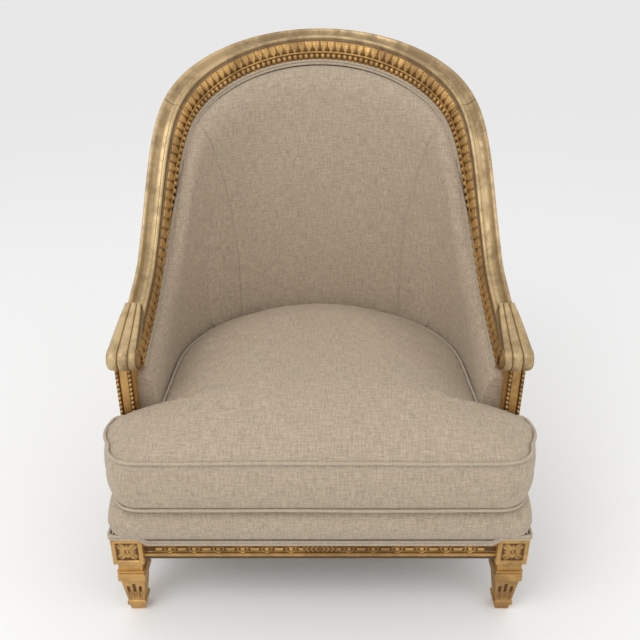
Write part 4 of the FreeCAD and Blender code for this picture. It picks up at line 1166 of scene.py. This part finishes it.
class ArmchairCushion(bpy.types.Operator):
    """Loose boxed cushion, filled as cloth between its seams, with piping along them."""
    bl_idname = "armchair.cushion"
    bl_label = "Loose cushion"
    front, stop, neck = -0.3525, -0.2310, 0.2765
    low_seam, high_seam, crown = 0.2415, 0.3330, 0.3800
    under, under_edge = 0.2380, 0.2375
    corner, bulge = 0.048, 0.0078
    seat_plan = (front - 0.0105, 0.337, 0.350, stop, neck, -0.0430)
    held_reach, held_height = 0.008, 0.2385
    pressure, last_frame = 4.0, 20
    sag, sag_reach, sag_from = 0.0022, 0.05, 0.300
    piping_wave = 0.0016

    def levels(self):
        """Rings from the underside up: height and plan."""
        front, ear, ear_end, stop, neck, centre = self.seat_plan
        inner = (front + 0.115, 0.176, 0.180, stop - 0.004, 0.155, centre + 0.02)

        def inward(share):
            return tuple(a + (b - a) * share for a, b in zip(self.seat_plan, inner))

        rings = [(self.under, inward(0.5)), (self.under_edge, inward(0.12)), (self.low_seam, self.seat_plan)]
        for share in (0.2, 0.4, 0.6, 0.8):
            out = self.bulge * math.sin(math.pi * share)
            plan = (front - out, ear + out, ear_end + out, stop, neck, centre)
            rings.append((self.low_seam + (self.high_seam - self.low_seam) * share, plan))
        rings.append((self.high_seam, self.seat_plan))
        for share in (0.06, 0.15, 0.3, 0.5, 0.7, 0.9, 1.0):
            height = self.high_seam + (self.crown - self.high_seam) * math.sin(math.pi / 2 * share) ** 0.9
            rings.append((height, inward(share)))
        return rings

    def seam(self, height):
        """Points of a seam, all the way round."""
        return [Vector((x, y, height)) for x, y in tee_plan(self.seat_plan, self.corner)][:-1]

    def fill(self, piece, context):
        """Remeshes the case as cloth, pins its seams and blows it up."""
        cloth = context.scene.armchair_cloth
        remesh = piece.modifiers.new("grain", "REMESH")
        remesh.mode, remesh.voxel_size = "VOXEL", cloth.voxel
        self.apply(piece)
        seams = self.seam(self.low_seam) + self.seam(self.high_seam)
        tree = KDTree(len(seams))
        for index, spot in enumerate(seams):
            tree.insert(spot, index)
        tree.balance()
        held = piece.vertex_groups.new(name="seams")
        start = [vertex.co.copy() for vertex in piece.data.vertices]
        for vertex in piece.data.vertices:
            distance = tree.find(vertex.co)[2]
            fixed = distance < self.held_reach or vertex.co.z < self.held_height
            held.add([vertex.index], 1.0 if fixed else 0.0, "REPLACE")
        fabric = piece.modifiers.new("fabric", "CLOTH")
        fabric.settings.use_pressure = True
        fabric.settings.uniform_pressure_force = self.pressure
        fabric.settings.vertex_group_mass = "seams"
        fabric.settings.effector_weights.gravity = 0.0
        fabric.settings.quality = 5
        fabric.collision_settings.use_collision = False
        for step in range(self.last_frame):
            context.scene.frame_set(step + 1)
        self.apply(piece)
        context.scene.frame_set(1)
        for vertex, rest in zip(piece.data.vertices, start):
            moved = vertex.co - rest
            if moved.length > cloth.swell:
                moved.length = cloth.swell
            spot = rest + moved
            if rest.z > self.sag_from:
                away = min(1.0, tree.find(spot)[2] / self.sag_reach)
                spot.z += noise.noise(Vector((spot.x * 7, spot.y * 7, 0.3))) * self.sag * away
            vertex.co = spot

    @staticmethod
    def apply(piece):
        """Turns the piece's modifiers into its mesh."""
        evaluated = piece.evaluated_get(bpy.context.evaluated_depsgraph_get())
        mesh = bpy.data.meshes.new_from_object(evaluated)
        piece.modifiers.clear()
        piece.data = mesh

    def execute(self, context):
        rings = []
        for z, plan in self.levels():
            rings.append([Vector((x, y, z)) for x, y in tee_plan(plan, self.corner)[:-1]])
        cushion = add_piece("loose_cushion", *sweep(rings), finish("slubby linen"), "linen",
                            ["cushion_cover", "cushion_fill"], body="cushion")
        self.fill(cushion, context)
        mesh = cushion.data
        mesh.name = "loose_cushion"
        mesh.materials.clear()
        mesh.materials.append(finish("slubby linen"))
        mesh.polygons.foreach_set("use_smooth", [True] * len(mesh.polygons))
        lay_weave(mesh)
        subdivision = cushion.modifiers.new("smooth", "SUBSURF")
        subdivision.levels = subdivision.render_levels = 1
        radius = context.scene.armchair_cloth.piping
        cords = []
        for height, out in ((self.low_seam, 0.001), (self.high_seam, 0.0015)):
            path = []
            for spot in self.seam(height):
                wave = noise.noise(Vector((spot.x * 6, spot.y * 6, height * 40)))
                lifted = spot + Vector((0, 0, self.piping_wave * wave))
                lifted.x *= 1 + out / 0.34
                lifted.y -= out if spot.y < self.stop else 0.0
                path.append(lifted)
            cords.append(tube(path, radius, closed=True))
        piping = add_piece("cushion_piping", *joined(*cords), finish("cord linen"), "welt_linen",
                           body="cushion")
        smooth = piping.modifiers.new("smooth", "SUBSURF")
        smooth.levels = smooth.render_levels = 1
        return {"FINISHED"}


class ArmchairStage(bpy.types.Operator):
    """Pale floor, soft studio light and the photograph's camera."""
    bl_idname = "armchair.stage"
    bl_label = "Stage"
    floor_reach = 2000.0
    surroundings = 0.84
    camera_place, camera_tilt = (0, -1.2319, 0.9815), math.radians(65)
    lens, film = 38.81, 36.0

    @staticmethod
    def light(name, size, power, place, aim):
        """A square soft light that faces a point."""
        lamp = bpy.data.lights.new(name, "AREA")
        lamp.shape, lamp.size, lamp.energy = "SQUARE", size, power
        holder = bpy.data.objects.new(name, lamp)
        holder.location = place
        holder.rotation_euler = (Vector(aim) - Vector(place)).to_track_quat("-Z", "Y").to_euler()
        bpy.context.scene.collection.objects.link(holder)

    def floor(self):
        """Wide matt floor that runs to the horizon."""
        reach = self.floor_reach
        mesh = bpy.data.meshes.new("floor")
        mesh.from_pydata([(-reach, -reach, 0), (reach, -reach, 0), (reach, reach, 0), (-reach, reach, 0)], [],
                         [(0, 1, 2, 3)])
        floor = bpy.data.objects.new("floor", mesh)
        bpy.context.scene.collection.objects.link(floor)
        material, tree, skin = shader("pale floor")
        speckle = add_node(tree, "ShaderNodeTexNoise", {"Scale": 3.0})
        dim, pale = (0.93, 0.93, 0.93, 1), (0.95, 0.95, 0.95, 1)
        tree.links.new(blend(tree, speckle.outputs[0], dim, pale), skin.inputs["Base Color"])
        skin.inputs["Roughness"].default_value = 0.9
        mesh.materials.append(material)

    def world(self, scene):
        """Even light all round, seen as white by the camera and in reflections."""
        world = scene.world or bpy.data.worlds.new("studio")
        scene.world = world
        world.use_nodes = True
        tree = world.node_tree
        ray = add_node(tree, "ShaderNodeLightPath")
        seen = calculate(tree, "MAXIMUM", ray.outputs["Is Camera Ray"], ray.outputs["Is Glossy Ray"])
        seen = calculate(tree, "MAXIMUM", seen, ray.outputs["Is Transmission Ray"])
        sky = tree.nodes["Background"]
        sky.inputs["Color"].default_value = (1, 1, 1, 1)
        tree.links.new(spread(tree, seen, 0.0, 1.0, self.surroundings, 1.0), sky.inputs["Strength"])

    def camera(self, scene):
        """The photograph's view."""
        camera = bpy.data.cameras.new("camera")
        camera.lens, camera.sensor_width = self.lens, self.film
        holder = bpy.data.objects.new("camera", camera)
        holder.location = self.camera_place
        holder.rotation_euler = (self.camera_tilt, 0, 0)
        scene.collection.objects.link(holder)
        scene.camera = holder

    def execute(self, context):
        scene = context.scene
        self.floor()
        self.world(scene)
        self.light("key", 1.6, 24, (-1.3, -1.5, 2.7), (0, 0, 0.4))
        self.light("fill", 2.0, 6, (1.8, -1.4, 2.0), (0, 0, 0.5))
        self.camera(scene)
        scene.view_settings.view_transform = "Standard"
        return {"FINISHED"}


# Add-on

STEPS = (ArmchairFinishes, ArmchairTopRail, ArmchairArmEnds, ArmchairFrontRail, ArmchairFrontLegs,
         ArmchairInsideBack, ArmchairOutsideCovers, ArmchairFixedSeat, ArmchairCushion, ArmchairStage)
GROUPS = (("armchair_tub", TubSizes), ("armchair_carving", CarvingSizes), ("armchair_cloth", ClothSizes),
          ("armchair_finishes", Finishes))


class ArmchairPanel(bpy.types.Panel):
    """Lists the armchair's pieces in the sidebar."""
    bl_idname = "VIEW3D_PT_armchair"
    bl_label = "Armchair"
    bl_space_type = "VIEW_3D"
    bl_region_type = "UI"
    bl_category = "Armchair"

    def draw(self, context):
        for step in STEPS:
            self.layout.operator(step.bl_idname)


def register():
    """Registers the properties, the operators and the panel."""
    for name, group in GROUPS:
        bpy.utils.register_class(group)
        setattr(bpy.types.Scene, name, bpy.props.PointerProperty(type=group))
    for step in STEPS:
        bpy.utils.register_class(step)
    bpy.utils.register_class(ArmchairPanel)


def unregister():
    """Takes everything out again."""
    bpy.utils.unregister_class(ArmchairPanel)
    for step in reversed(STEPS):
        bpy.utils.unregister_class(step)
    for name, group in reversed(GROUPS):
        delattr(bpy.types.Scene, name)
        bpy.utils.unregister_class(group)


def main():
    """Makes the whole chair and its stage."""
    register()
    bpy.ops.armchair.finishes()
    bpy.ops.armchair.top_rail()
    bpy.ops.armchair.arm_ends()
    bpy.ops.armchair.front_rail()
    bpy.ops.armchair.front_legs()
    bpy.ops.armchair.inside_back()
    bpy.ops.armchair.outside_covers()
    bpy.ops.armchair.fixed_seat()
    bpy.ops.armchair.cushion()
    bpy.ops.armchair.stage()


if __name__ == "__main__":
    main()
